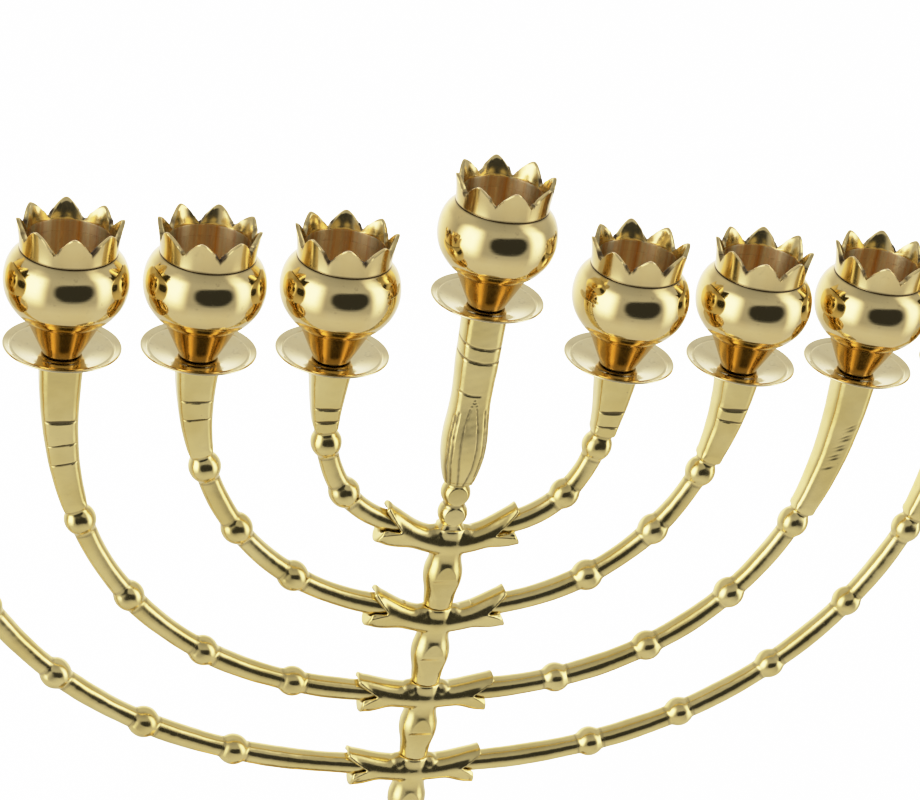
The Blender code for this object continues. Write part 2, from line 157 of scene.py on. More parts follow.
def hoop(radius, height, turn, centre=0.0):
    """Points round an upright line at x = centre; the radius may change with the turn."""
    return np.stack([centre + radius * np.cos(turn), radius * np.sin(turn), height + 0 * turn], -1)


def turned_rings(profile, sides):
    """Rings of a turned shape from (radius, height) points."""
    return [hoop(radius, height, turns(sides)) for radius, height in profile]


def round_size(low, high):
    """(radius, bottom, top) of a round node from its box."""
    return high.x / MM, low.z / MM, high.z / MM


def peak(value, centre, width, power=2):
    """1 at the centre, and fading out over the width on both sides."""
    return np.exp(-(((value - centre) / width) ** power))


def flowing(points, step=0.35):
    """A smooth curve through points (Catmull-Rom), with a point about every step."""
    points = [Vector(p) for p in points]
    ends = [2 * points[0] - points[1], *points, 2 * points[-1] - points[-2]]
    out = []
    for before, a, b, after in zip(ends, ends[1:], ends[2:], ends[3:]):
        pieces = max(2, round((b - a).length / step))
        for i in range(pieces):
            t = i / pieces
            out.append(
                0.5 * (2 * a + (b - before) * t + (2 * before - 5 * a + 4 * b - after) * t**2
                       + (3 * a - before - 3 * b + after) * t**3)
            )
    return [tuple(p) for p in [*out, points[-1]]]


def rounded(points, radius, steps=4):
    """A polyline with its inner corners rounded."""
    points = [Vector(p) for p in points]
    out = [tuple(points[0])]
    for before, corner, after in zip(points, points[1:], points[2:]):
        reach = min(radius, (corner - before).length * 0.45, (after - corner).length * 0.45)
        start = corner + (before - corner).normalized() * reach
        end = corner + (after - corner).normalized() * reach
        for i in range(steps + 1):
            t = i / steps
            out.append(tuple(start * (1 - t) ** 2 + corner * 2 * t * (1 - t) + end * t**2))
    out.append(tuple(points[-1]))
    return out


def ripple(points, wavelength, seed):
    """Smooth hand-made unevenness, between -1 and 1, at points in space."""
    random = np.random.default_rng(seed)
    total = 0
    for _ in range(6):
        direction = random.normal(size=3)
        direction /= np.linalg.norm(direction) * wavelength * random.uniform(0.7, 1.5)
        total = total + np.sin(points @ direction * 2 * math.pi + random.uniform(0, 2 * math.pi))
    return total / 6


def step_up(value, low, high):
    """0 below low, 1 above high, and smooth between."""
    t = np.clip((value - low) / (high - low), 0, 1)
    return t * t * (3 - 2 * t)


def section(turn, roundness, facet):
    """The radius, for a half size of 1, of a rounded square whose corners are cut off as flats."""
    c = np.abs(np.cos(turn))
    s = np.abs(np.sin(turn))
    return (c**roundness + s**roundness + (facet * (c + s)) ** roundness) ** (-1 / roundness)


def finish_piece(obj, body, node, slot, *materials):
    """Give a piece its materials and its body, and hide the CAD node that it stands for."""
    for material in materials:
        obj.data.materials.append(material)
    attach(obj, body)
    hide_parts(node)
    return obj


# ---- materials ----
class Recipe:
    """A Principled material and short ways to add nodes to it."""

    def __init__(self, name, roughness, metallic=1.0):
        self.material = bpy.data.materials.new(name)
        self.material.use_nodes = True
        self.tree = self.material.node_tree
        self.shader = self.tree.nodes["Principled BSDF"]
        self.shader.inputs["Metallic"].default_value = metallic
        self.shader.inputs["Roughness"].default_value = roughness
        self.place = self.node("ShaderNodeTexCoord").outputs["Object"]

    def node(self, kind, **inputs):
        made = self.tree.nodes.new(kind)
        for key, value in inputs.items():
            self.feed(made.inputs[key.replace("_", " ")], value)
        return made

    def feed(self, socket, value):
        if isinstance(value, bpy.types.NodeSocket):
            self.tree.links.new(value, socket)
        else:
            socket.default_value = value

    def math(self, operation, *values):
        made = self.tree.nodes.new("ShaderNodeMath")
        made.operation = operation
        for socket, value in zip(made.inputs, values):
            self.feed(socket, value)
        return made.outputs[0]

    def stretched(self, x, y, z, place=None):
        """The place scaled, in cycles for each millimetre."""
        made = self.node("ShaderNodeMapping", Vector=place or self.place)
        made.inputs["Scale"].default_value = (x / MM, y / MM, z / MM)
        return made.outputs[0]

    def noise(self, place, detail=2.0, rough=0.5):
        made = self.node("ShaderNodeTexNoise", Vector=place, Scale=1.0, Detail=detail, Roughness=rough)
        return made.outputs["Fac"]

    def span(self, value, low, high, out_low, out_high):
        """value between low and high, changed to lie between out_low and out_high."""
        made = self.node("ShaderNodeMapRange", Value=value)
        limits = {"From Min": low, "From Max": high, "To Min": out_low, "To Max": out_high}
        for key, number in limits.items():
            self.feed(made.inputs[key], number)
        return made.outputs[0]

    def colours(self, factor, first, second):
        made = self.tree.nodes.new("ShaderNodeMix")
        made.data_type = "RGBA"
        self.feed(made.inputs[0], factor)
        for socket, value in ((made.inputs[6], first), (made.inputs[7], second)):
            self.feed(socket, (*value, 1.0) if isinstance(value, tuple) else value)
        return made.outputs[2]

    # Reads the per-point darkness: dark patina together with painted shade
    def patina_and_shade(self):
        made = self.tree.nodes.new("ShaderNodeAttribute")
        made.attribute_name = "patina_and_shade"
        return made.outputs["Fac"]

    def around(self, rings, streaks):
        """A place for marks that run round the Z axis: radius and height only."""
        parts = self.node("ShaderNodeSeparateXYZ", Vector=self.place)
        x, y, z = parts.outputs
        squares = self.math("ADD", self.math("MULTIPLY", x, x), self.math("MULTIPLY", y, y))
        radius = self.math("SQRT", squares)
        turn = self.math("ARCTAN2", y, x)
        flat = self.tree.nodes.new("ShaderNodeCombineXYZ")
        self.feed(flat.inputs[0], self.math("MULTIPLY", radius, rings / MM))
        self.feed(flat.inputs[1], self.math("MULTIPLY", z, rings / MM))
        self.feed(flat.inputs[2], self.math("MULTIPLY", turn, streaks))
        return flat.outputs[0]

    def bump(self, height, strength, depth, under=None):
        made = self.node("ShaderNodeBump", Height=height, Strength=strength, Distance=depth * MM)
        if under is not None:
            self.feed(made.inputs["Normal"], under)
        return made.outputs[0]

    def smear(self, anisotropy):
        """Stretch reflections across the rings that a lathe leaves round the Z axis."""
        self.shader.inputs["Anisotropic"].default_value = anisotropy
        self.shader.inputs["Anisotropic Rotation"].default_value = 0.25
        tangent = self.node("ShaderNodeTangent")
        tangent.direction_type = "RADIAL"
        tangent.axis = "Z"
        self.feed(self.shader.inputs["Tangent"], tangent.outputs[0])


BRIGHT_BRASS = (0.885, 0.72, 0.36)
WARM_BRASS = (0.86, 0.665, 0.295)
CAST_LIGHT = (0.87, 0.72, 0.325)
CAST_DEEP = (0.79, 0.635, 0.25)
# The dark colour that patina, pits and painted shade in creases and recesses mix towards
DARK_PATINA_AND_SHADE = (0.075, 0.05, 0.03)


def turned_brass(name, bright, warm, polish, line_depth, anisotropy):
    """Lathe-turned and buffed brass: fine rings round the axis, faint wipe marks, random stains, and dark
    patina with painted shade in its creases.
    """
    made = Recipe(name, polish)
    lines = made.noise(made.around(5.0, 0.6), detail=3.0)
    broad = made.noise(made.around(0.9, 0.3), detail=1.0)
    cloud = made.noise(made.stretched(0.11, 0.11, 0.11), detail=3.0)
    wipe = made.noise(made.stretched(1.3, 1.7, 0.25), detail=4.0, rough=0.6)
    brass = made.colours(made.span(cloud, 0.35, 0.7, 0.0, 0.85), bright, warm)
    blots = made.noise(made.stretched(0.55, 0.55, 0.4), detail=5.0, rough=0.65)
    # Darkness from the mesh (patina with painted shade), together with random stains
    patina_and_shade = made.math("MAXIMUM", made.patina_and_shade(), made.span(blots, 0.60, 0.78, 0.0, 0.30))
    made.feed(made.shader.inputs["Base Color"], made.colours(patina_and_shade, brass, DARK_PATINA_AND_SHADE))
    worn = made.math("ADD", made.span(lines, 0.3, 0.8, 0.0, 0.05), made.span(wipe, 0.4, 0.75, 0.0, 0.05))
    rough = made.math("ADD", made.math("ADD", worn, polish - 0.03), made.math("MULTIPLY", patina_and_shade, 0.4))
    made.feed(made.shader.inputs["Roughness"], rough)
    under = made.bump(broad, 0.12, line_depth * 4)
    made.feed(made.shader.inputs["Normal"], made.bump(lines, 0.25, line_depth, under))
    made.smear(anisotropy)
    return made.material


def bored_brass():
    """The candle's bore: fine machining rings that smear reflections into upright streaks, and painted
    reflections: upright bands of light and dark orange in its colour.
    """
    made = Recipe("bore_brass", 0.30)
    angle = made.node("ShaderNodeVectorMath", Vector=made.place)
    angle.operation = "MULTIPLY"
    angle.inputs[1].default_value = (1, 1, 0)
    out = made.node("ShaderNodeVectorMath", Vector=angle.outputs[0])
    out.operation = "NORMALIZE"
    spread = made.node("ShaderNodeVectorMath", Vector=out.outputs[0])
    spread.operation = "SCALE"
    spread.inputs["Scale"].default_value = 2.6
    bands = made.noise(spread.outputs[0], detail=3.0, rough=0.6)
    ridges = made.noise(made.stretched(0.01, 0.01, 9.0), detail=1.0)
    # Painted reflection: light and dark orange bands that change round the bore, standing in for upright
    # reflected streaks
    painted_streaks = made.span(bands, 0.38, 0.62, 0.0, 1.0)
    colour = made.colours(painted_streaks, (0.80, 0.45, 0.13), (1.0, 0.92, 0.62))
    patina_and_shade = made.patina_and_shade()
    made.feed(made.shader.inputs["Base Color"], made.colours(patina_and_shade, colour, DARK_PATINA_AND_SHADE))
    made.feed(made.shader.inputs["Roughness"], made.span(ridges, 0.3, 0.7, 0.28, 0.34))
    made.feed(made.shader.inputs["Normal"], made.bump(ridges, 0.08, 0.004))
    made.smear(0.9)
    return made.material


def cast_brass():
    """Sand-cast brass, filed and buffed by hand: soft hollows, file strokes, pits, and dark grooves and
    creases from patina with painted shade.
    """
    made = Recipe("cast_brass", 0.16)
    hollows = made.noise(made.stretched(0.28, 0.28, 0.28), detail=2.0)
    strokes = made.noise(made.stretched(5.0, 1.6, 0.5), detail=4.0, rough=0.6)
    cross_strokes = made.noise(made.stretched(0.6, 1.6, 6.0), detail=4.0, rough=0.6)
    where = made.noise(made.stretched(0.09, 0.09, 0.09), detail=1.0)
    filed = made.colours(made.span(where, 0.45, 0.55, 0.0, 1.0), strokes, cross_strokes)
    pit_noise = made.noise(made.stretched(1.6, 1.6, 1.6), detail=3.0, rough=0.7)
    pits = made.span(pit_noise, 0.66, 0.73, 0.0, 1.0)
    cloud = made.noise(made.stretched(0.07, 0.07, 0.07), detail=3.0)
    brass = made.colours(made.span(cloud, 0.38, 0.65, 0.0, 1.0), CAST_LIGHT, CAST_DEEP)
    # Dark from the mesh's patina with painted shade, and from pits
    dark = made.math("MAXIMUM", made.patina_and_shade(), made.math("MULTIPLY", pits, 0.45))
    made.feed(made.shader.inputs["Base Color"], made.colours(dark, brass, DARK_PATINA_AND_SHADE))
    worn = made.span(filed, 0.3, 0.75, 0.11, 0.24)
    made.feed(made.shader.inputs["Roughness"], made.math("ADD", worn, made.math("MULTIPLY", dark, 0.4)))
    under = made.bump(hollows, 0.5, 0.12)
    under = made.bump(pits, -0.5, 0.05, under)
    made.feed(made.shader.inputs["Normal"], made.bump(filed, 0.25, 0.02, under))
    return made.material


def plated_steel():
    """Zinc-plated steel: grey with a faint yellow bloom, turned scratches, and painted shade in its thread
    roots.
    """
    made = Recipe("plated_steel", 0.34)
    cloud = made.noise(made.stretched(0.5, 0.5, 0.5), detail=3.0)
    grain = made.noise(made.around(4.0, 1.0), detail=3.0)
    colour = made.colours(made.span(cloud, 0.35, 0.7, 0.0, 1.0), (0.66, 0.66, 0.64), (0.60, 0.57, 0.48))
    made.feed(made.shader.inputs["Base Color"], made.colours(made.patina_and_shade(), colour, DARK_PATINA_AND_SHADE))
    made.feed(made.shader.inputs["Roughness"], made.span(grain, 0.3, 0.8, 0.28, 0.42))
    made.feed(made.shader.inputs["Normal"], made.bump(grain, 0.3, 0.02))
    return made.material


def wool_felt():
    """Dark green felt, with fibres."""
    made = Recipe("wool_felt", 0.95, metallic=0.0)
    fibre = made.noise(made.stretched(2.2, 2.2, 2.2), detail=6.0, rough=0.7)
    cloud = made.noise(made.stretched(0.12, 0.12, 0.12), detail=2.0)
    deep = made.colours(cloud, (0.012, 0.05, 0.026), (0.02, 0.075, 0.04))
    colour = made.colours(made.span(fibre, 0.35, 0.75, 0.0, 1.0), deep, (0.05, 0.13, 0.075))
    made.feed(made.shader.inputs["Base Color"], colour)
    made.shader.inputs["Sheen Weight"].default_value = 0.4
    made.feed(made.shader.inputs["Normal"], made.bump(fibre, 0.8, 0.25))
    return made.material


BULB_BRASS = turned_brass("bulb_brass", (0.85, 0.69, 0.335), (0.82, 0.635, 0.275), 0.075, 0.015, 0.3)
# The cone's brass is darker and more orange than the bulb's: painted shade and painted reflection of the
# brass round it
CONE_BRASS = turned_brass("cone_brass", (0.76, 0.54, 0.20), (0.72, 0.48, 0.16), 0.11, 0.010, 0.3)
BORE_BRASS = bored_brass()
CROWN_BRASS = turned_brass("crown_brass", (0.85, 0.69, 0.33), (0.82, 0.63, 0.27), 0.15, 0.008, 0.2)
# The dish's brass is paler and whiter than the rest: a painted sheen for the bright, washed-out reflection
# on its upward face
DISH_BRASS = turned_brass("dish_brass", (0.91, 0.80, 0.50), (0.88, 0.74, 0.41), 0.085, 0.006, 0.2)
BASE_BRASS = turned_brass("base_brass", BRIGHT_BRASS, WARM_BRASS, 0.13, 0.01, 0.3)
CAST_BRASS = cast_brass()
STEEL = plated_steel()
FELT = wool_felt()


# ---- candle cups ----
def dish_outline():
    """The saucer, from its hole across the top to the lip and back underneath."""
    well = flowing([(6.4, DISH_WELL), (7.4, -2.36), (9.6, -1.78), (12.2, -1.08), (13.7, -0.72)])
    ring = [(13.86, -0.80), (14.0, -0.82), (14.12, -0.74), (14.3, -0.58)]
    lip = flowing(
        [(14.5, -0.50), (15.3, -0.16), (15.75, -0.03), (15.96, -0.16), (16.0, -0.38), (15.8, -0.6)], 0.12
    )
    under = flowing([(15.2, -0.92), (12.5, -1.9), (9.4, -3.0), (7.2, -3.6), (6.0, DISH_BOTTOM)])
    edge = [(STUD_HOLE + 0.15, DISH_BOTTOM), (STUD_HOLE, DISH_BOTTOM + 0.15), (STUD_HOLE, DISH_WELL - 0.15)]
    return [(STUD_HOLE + 0.15, DISH_WELL), (4.0, DISH_WELL), *well, *ring, *lip, *under, *edge]


def bulb_outline():
    """(outline, number of its points inside the candle's bore): from the bore's floor up and over the
    seam, down the outside to the foot, and up the stud's hole."""
    seam = SEAM - SEAM_GAP
    register = SEAM - 0.02
    bore = rounded(
        [(0.4, BORE_FLOOR - 0.25), (1.4, BORE_FLOOR), (BORE_RADIUS - 0.3, BORE_FLOOR),
         (BORE_RADIUS, BORE_FLOOR + 0.5), (BORE_RADIUS, register)], 0.4
    )
    wall = []
    for low, high in zip(bore, bore[1:]):
        pieces = max(1, round((Vector(high) - Vector(low)).length / 1.2))
        wall += [tuple(Vector(low).lerp(Vector(high), i / pieces)) for i in range(pieces)]
    land = [(BORE_RADIUS, register), (BORE_RADIUS + 0.8, register)]
    land += [(BORE_RADIUS + 0.85, seam), (SEAM_RADIUS - 0.35, seam)]
    belly = flowing(
        [(SEAM_RADIUS - 0.12, seam - 0.03), (SEAM_RADIUS + 0.15, seam - 0.30), (14.15, 26.9), (15.35, 25.4),
         (16.35, 23.0), (16.8, 19.8), (16.55, 16.8), (15.6, 13.9), (14.1, 11.5), (12.75, 9.95), (11.7, 9.1),
         (10.75, 8.55)], 0.4
    )
    cone = flowing([(10.45, 8.35), (9.7, 6.9), (8.3, 4.0), (6.85, 1.0), (5.75, -1.2)], 0.4)
    foot = flowing([(5.6, -1.5), (5.5, -1.75), (5.45, -1.9), (5.35, -2.1)], 0.15)
    hole_top = DISH_WELL + SEAM_GAP + STUD_HOLE_DEPTH
    mouth = [(5.2, -2.2), (STUD_HOLE + 0.2, -2.2)]
    hole = [(STUD_HOLE, -2.0), (STUD_HOLE, hole_top), (0.4, hole_top + 0.6)]
    return [*wall, *land, *belly, *cone, *foot, *mouth, *hole], len(wall)


def bulb(place):
    """The pomegranate's body, bored for the candle, with patina and painted shade in its seam, painted shade
    in its crease and on its bore's floor, a painted contact shadow round its foot, and a little painted
    shade on its cone.
    """
    sides = 112
    outline, inside = bulb_outline()
    radii, heights = np.array(outline).T
    in_bore = np.arange(len(outline)) < inside
    on_cone = (heights < CONE_TOP) & (radii > 5)
    # Painted shade: in the crease under the bulb, a contact shadow round the foot on the dish, in the seam
    # under the crown, on the bore's floor, and a little over the cone
    crease = peak(heights, CONE_TOP - 0.1, 0.25) * (radii > 9)
    foot = peak(heights, -2.15, 0.3) * (radii > 5)
    seam = peak(heights, SEAM - SEAM_GAP, 0.22) * (radii > 12.7)
    floor = 0.25 * (heights < BORE_FLOOR + 0.8) * in_bore
    shade = np.maximum.reduce([0.45 * crease, 0.6 * foot, 0.75 * seam, floor, 0.12 * on_cone])
    patina_and_shade = np.repeat(shade[:, None], sides, axis=1)
    slots = np.where(in_bore, 1, 2 * on_cone)
    return skin(f"{place}_bulb", turned_rings(outline, sides), patina_and_shade, slot_rows=slots)


def crown(place, phase, seed):
    """The flower end: a bored ring whose eight sawn sepals flare outwards."""
    per_sepal = 44
    columns = SEPALS * per_sepal
    random = np.random.default_rng(seed)
    index = np.arange(columns)
    turn = math.radians(phase) + (index / per_sepal) * 2 * math.pi / SEPALS
    nearest = np.round(index / per_sepal).astype(int) % SEPALS
    between = (index // per_sepal) % SEPALS
    share = np.abs((index / per_sepal + 0.5) % 1 - 0.5) * 2
    tips = (TIP_RISE + random.uniform(-0.35, 0.35, SEPALS))[nearest]
    notches = (NOTCH_RISE + random.uniform(-0.45, 0.45, SEPALS))[between]
    lean = random.uniform(-0.2, 0.25, SEPALS)[nearest]
    blunt = 0.16
    fall = (np.sqrt(share**2 + blunt**2) - blunt) / (math.sqrt(1 + blunt**2) - blunt)
    top = tips - (tips - notches) * fall**1.12
    saw = step_up(share, 0.45, 0.80)
    raw = random.normal(size=columns)
    raw = (raw + np.roll(raw, 1) + np.roll(raw, 2) + np.roll(raw, 3)) / 2.8
    coarse = np.sin(index * 0.31 + seed) + np.sin(index * 0.173 + 2 * seed)
    burr = saw * np.clip(0.50 + 0.40 * coarse + 0.9 * raw, 0, 1)
    top = top + 0.24 * saw * raw
    bore_top = NOTCH_RISE - BORE_BELOW_NOTCH

    def outer(z):
        flare = CROWN_FLARE + lean
        up = z / TIP_RISE
        return SEAM_RADIUS + flare * up**1.7 + 0.14 * np.cos(math.pi * share) * up

    def inner(z):
        up = np.clip((z - bore_top) / (TIP_RISE - bore_top), 0, 1)
        thick = outer(z) - BORE_RADIUS
        above = outer(z) - (thick + (TIP_THICKNESS - thick) * up**0.7)
        return np.where(z > bore_top, above, BORE_RADIUS)

    rows = []
    shade = []

    def add(radius, z, dark):
        rows.append(hoop(radius, SEAM + z, turn))
        shade.append(dark + 0 * turn)

    edge = 0.14
    # Painted shade with patina in the seam under the crown and at the bore's foot, painted shade in the V of
    # each notch, and dark burrs along the sawn notches
    add(np.full(columns, BORE_RADIUS), 0 * top, 0.6)
    add(np.full(columns, SEAM_RADIUS - 0.15), 0 * top, 0.9)
    add(outer(0 * top) - 0.03, 0 * top + 0.06, 0.7)
    for f in np.linspace(0, 1, 22)[1:]:
        z = 0.25 + (top - edge - 0.25) * f
        add(outer(z), z, burr * step_up(z - top, -1.5 * burr - 0.1, -0.1))
    add(outer(top) - 0.10, top - 0.02, 0.3 * saw + 0.6 * burr)
    add((outer(top) + inner(top)) / 2, top + 0.02 + 0.05 * saw * raw, 0.35 * saw + 0.65 * burr)
    add(inner(top) + 0.10, top - 0.02, 0.35 * saw + 0.6 * burr)
    for f in np.linspace(1, 0, 8):
        z = bore_top + (top - edge - bore_top) * f
        add(inner(z), z, 0.3 * saw * f**2)
    bore_from = len(rows)
    for f in np.linspace(0.85, 0, 6):
        z = bore_top * f + 0.02
        add(inner(0 * top + z), 0 * top + z, 0.0)
    slots = [1 if bore_from - 1 <= i < len(rows) - 1 else 0 for i in range(len(rows))]
    return skin(f"{place}_crown_sepals", rows, np.array(shade), closed=True, slot_rows=slots, crease=40)


def thread(low, high, radius, pitch, sides=32, rows_per_turn=10):
    """Rings of a screw thread with tapered ends."""
    rows = round((high - low) / pitch * rows_per_turn)
    turn = turns(sides)
    rings = []
    shade = []
    for i in range(rows + 1):
        z = low + (high - low) * i / rows
        wave = np.abs((z / pitch - turn / (2 * math.pi)) % 1 - 0.5) * 2
        end = min(z - low, high - z)
        chamfer = max(0.0, 0.45 - end)
        depth = 0.54 * pitch * np.clip(wave * 1.25 - 0.12, 0, 1) * (1 - chamfer)
        rings.append(hoop(radius - depth - chamfer, z, turn))
        # Painted shade, darker towards the thread's roots
        shade.append(0.35 * wave)
    return rings, np.array(shade)


# For each cup, the direction of one sepal's tip from +X, in degrees: the cups are screwed on by hand,
# so each stops somewhere else
CROWN_TURNS = {
    "left_4": 14, "left_3": 0, "left_2": 28, "left_1": 36, "shamash": 43,
    "right_1": 40, "right_2": 27, "right_3": 26, "right_4": 9,
}


def make_cup(place, number):
    """One candle cup, in place: the dish on its own body, and the bulb, crown and stud on the cup's."""
    low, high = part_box(place + "_drip_dish")
    axis = Vector(((low.x + high.x) / 2, 0, high.z))
    dish = skin(place + "_dish_turned", turned_rings(dish_outline(), 128), closed=True)
    body = bulb(place)
    sepals = crown(place, CROWN_TURNS[place], 100 + number)
    bottom = POST_TOP - STUD_LENGTH_IN_POST
    rings, shade = thread(bottom, DISH_WELL + STUD_HOLE_DEPTH, STUD_RADIUS, STUD_PITCH)
    stud = skin(place + "_stud_thread", rings, shade)
    for piece in (dish, body, sepals, stud):
        piece.location = axis
    finish_piece(dish, place + "_dish", place + "_drip_dish", "turned_brass", DISH_BRASS)
    cup = place + "_cup"
    finish_piece(body, cup, place + "_pomegranate", "turned_brass", BULB_BRASS, BORE_BRASS, CONE_BRASS)
    finish_piece(sepals, cup, place + "_crown", "turned_brass", CROWN_BRASS, BORE_BRASS)
    finish_piece(stud, cup, place + "_stud", "plated_steel", STEEL)


# ---- arms ----
def arm_line(tier):
    """An arm's centreline from the tenon's end to the post's top, as (x, z) points, with the distance
    along it of each, and the direction in which the tenon points out of the stem."""
    drop = tier.root - tier.shoulder
    mouth = math.acos((CALYX_MOUTH / tier.reach) ** (tier.power / 2))
    angle = np.linspace(mouth, 0, 400)
    x = tier.reach * np.cos(angle) ** (2 / tier.power)
    z = RIM - tier.shoulder - drop * np.sin(angle) ** (2 / tier.power)
    curve = np.stack([x, z], -1)
    outward = (curve[1] - curve[0]) / np.linalg.norm(curve[1] - curve[0])
    line = np.vstack([curve[0] - TENON_LENGTH * outward, curve, [tier.reach, RIM + POST_TOP]])
    steps = np.linalg.norm(np.diff(line, axis=0), axis=1)
    return line, np.concatenate([[0], np.cumsum(steps)]), outward


def larger(a, b, fillet):
    """The larger of two values, with a fillet where they meet."""
    return (a + b + np.sqrt((a - b) ** 2 + fillet**2)) / 2


# Cross grooves in each post, as (share of the way down from its top to the first knop, half height)
POST_GROOVES = {
    "left_arm_1": ((0.61, 0.42), (0.82, 0.45)),
    "left_arm_2": ((0.36, 0.28), (0.56, 0.22)),
    "left_arm_3": ((0.37, 0.55), (0.53, 0.22), (0.66, 0.26)),
    "left_arm_4": ((0.45, 0.35), (0.61, 0.28)),
    "right_arm_1": ((0.59, 0.55), (0.84, 0.28)),
    "right_arm_2": ((0.35, 0.60), (0.49, 0.35)),
    "right_arm_3": (),
    "right_arm_4": ((0.42, 0.40), (0.63, 0.30)),
}
CHEVRONS = {"right_arm_3": 9}  # short slanting cuts that one post has in place of grooves


def post_grooves(name, s, u, v, half, start, end):
    """How deep the cuts in the front of a post are; it lies from start to end along the arm."""
    groove = np.zeros_like(u)
    front = v < -0.5 * half
    across = u / half
    for down, tall in POST_GROOVES[name]:
        at = end - down * (end - start)
        shape = np.clip(1 - (across / 0.86) ** 2, 0, 1)
        bow = 0.25 * math.sin(at) * across
        cut = peak(s, at + bow, tall * (0.35 + 0.65 * shape), 4) * step_up(shape, 0.0, 0.35)
        groove = np.maximum(groove, cut * front)
    for i in range(CHEVRONS.get(name, 0)):
        at = end - (0.33 + 0.033 * i) * (end - start)
        slant = 0.55 * u + (1.5 if i % 2 else -1.2)
        cut = peak(s, at + slant, 0.30) * peak(u, 1.4 - 0.3 * i, 1.3)
        groove = np.maximum(groove, 0.75 * cut * front)
    return groove


def make_arm(side, number, tier):
    """A cast rod with ball knops, from its tenon in the stem up to the post under its dish."""
    name = f"{side}_arm_{number}"
    line, along, _ = arm_line(tier)
    sign = 1 if side == "right" else -1
    seed = number * 10 + sign
    total = along[-1]
    knops = []
    for depth in tier.knops:
        reached = np.nonzero(line[2:, 1] >= RIM - depth)[0][0] + 2
        knops.append(along[reached])
    post_start = knops[-1] + KNOP_HALF

    def spaced(start, end, step):
        return list(np.linspace(start, end, max(2, round((end - start) / step)), endpoint=False))

    # s is the distance along the arm; u and v are then up and back across it
    tenon = [*spaced(0, 0.4, 0.2), *spaced(0.4, TENON_LENGTH, 1.2)]
    rod_and_knops = spaced(TENON_LENGTH, post_start, 0.45)
    s = np.array([*tenon, *rod_and_knops, *spaced(post_start, total - 0.15, 0.24), total - 0.15, total])
    x = np.interp(s, along, line[:, 0])
    z = np.interp(s, along, line[:, 1])
    ahead = np.stack(
        [np.interp(s + 0.8, along, line[:, i]) - np.interp(s - 0.8, along, line[:, i]) for i in (0, 1)], -1
    )
    ahead[s < TENON_LENGTH] = line[1] - line[0]
    ahead[s > total - 1.0] = (0, 1)
    ahead /= np.linalg.norm(ahead, axis=1, keepdims=True)

    rod = ROD_HALF + 0.10 * np.sin(s / 5.3 + seed)
    rod = np.where(s < TENON_LENGTH - 4, TENON_HALF, rod)
    share = np.clip((s - post_start) / (total - post_start), 0, 1)
    post = POST_HALF_BOTTOM + (POST_HALF_TOP - POST_HALF_BOTTOM) * share
    in_post = step_up(s, post_start - 1.5, post_start + 2.5)
    half = rod * (1 - in_post) + post * in_post
    balled = np.zeros_like(s)
    for k, middle in enumerate(knops):
        size = KNOP_HALF + 0.12 * math.sin(7 * k + seed)
        ball = np.sqrt(np.clip(size**2 - ((s - middle) * size / (size + 0.1)) ** 2, 0, None))
        half = np.where(np.abs(s - middle) < size + 1.2, larger(half, ball, 0.35), half)
        balled = np.maximum(balled, step_up(size + 0.3 - np.abs(s - middle), 0, 1.2))
    half[s < 0.3] -= 0.35
    half[s > total - 0.1] -= 0.18

    sides = 56
    turn = turns(sides)
    roundness = 2.5 + (13 - 2.5) * in_post * (1 - balled)
    roundness = roundness * (1 - balled) + 2.3 * balled
    facet = (0.35 + 0.26 * in_post) * (1 - balled) + 0.30 * balled
    radius = np.stack([section(turn, e, f) for e, f in zip(roundness, facet)]) * half[:, None]
    u = radius * np.cos(turn)
    v = radius * np.sin(turn)
    front = -((1 - 0.07 * balled) * half)[:, None]
    v = np.where(v < front, front + (v - front) * 0.25, v)

    groove = post_grooves(name, s[:, None], u, v, half[:, None], post_start, total)
    v = v + 0.30 * groove

    px = x[:, None] + ahead[:, 1:2] * u
    pz = z[:, None] - ahead[:, 0:1] * u
    points = np.stack([sign * px, v, pz], -1)
    uneven = 0.07 * ripple(points, 9.0, seed) + 0.03 * ripple(points, 3.5, seed + 50)
    quiet = (step_up(s, TENON_LENGTH + 1, TENON_LENGTH + 4) * step_up(total - s, 0.2, 2.0))[:, None]
    middle = np.stack([sign * x, 0 * x, z], -1)[:, None, :]
    outward = points - middle
    outward /= np.linalg.norm(outward, axis=-1, keepdims=True)
    points = points + outward * (uneven * quiet)[..., None]

    # Painted shade round each knop's neck, and dark patina with painted shade in the post's cut grooves
    neck = np.zeros_like(s)
    for middle_at in knops:
        neck = np.maximum(neck, peak(np.abs(s - middle_at), KNOP_HALF - 0.5, 0.35))
    patina_and_shade = np.maximum(0.85 * groove, 0.36 * neck[:, None])

    top = RIM + POST_TOP
    bottom = top - STUD_HOLE_DEPTH
    bore = (
        (4.0, top), (STUD_HOLE + 0.2, top), (STUD_HOLE, top - 0.2), (STUD_HOLE, bottom), (0.5, bottom - 0.8),
    )
    hole = [hoop(radius, height, turn, tier.reach) * (sign, 1, 1) for radius, height in bore]
    rings = np.concatenate([points, hole])
    # Painted shade inside the stud hole
    shade = np.concatenate([patina_and_shade, np.full((len(hole), sides), 0.2)])
    arm = skin(f"{name}_cast", rings, shade, crease=38)
    finish_piece(arm, "frame", name, "cast_brass", CAST_BRASS)


# ---- stem ----
def column(stations, sides, roundness, facet, step=0.4):
    """Rings up the Z axis through (height, half width, half depth) stations."""
    smooth = np.array(flowing(stations, step))
    turn = turns(sides)
    shape = section(turn, roundness, facet)
    return np.stack(
        [smooth[:, 1:2] * shape * np.cos(turn), smooth[:, 2:3] * shape * np.sin(turn),
         np.repeat(smooth[:, 0:1], sides, axis=1)], -1
    )


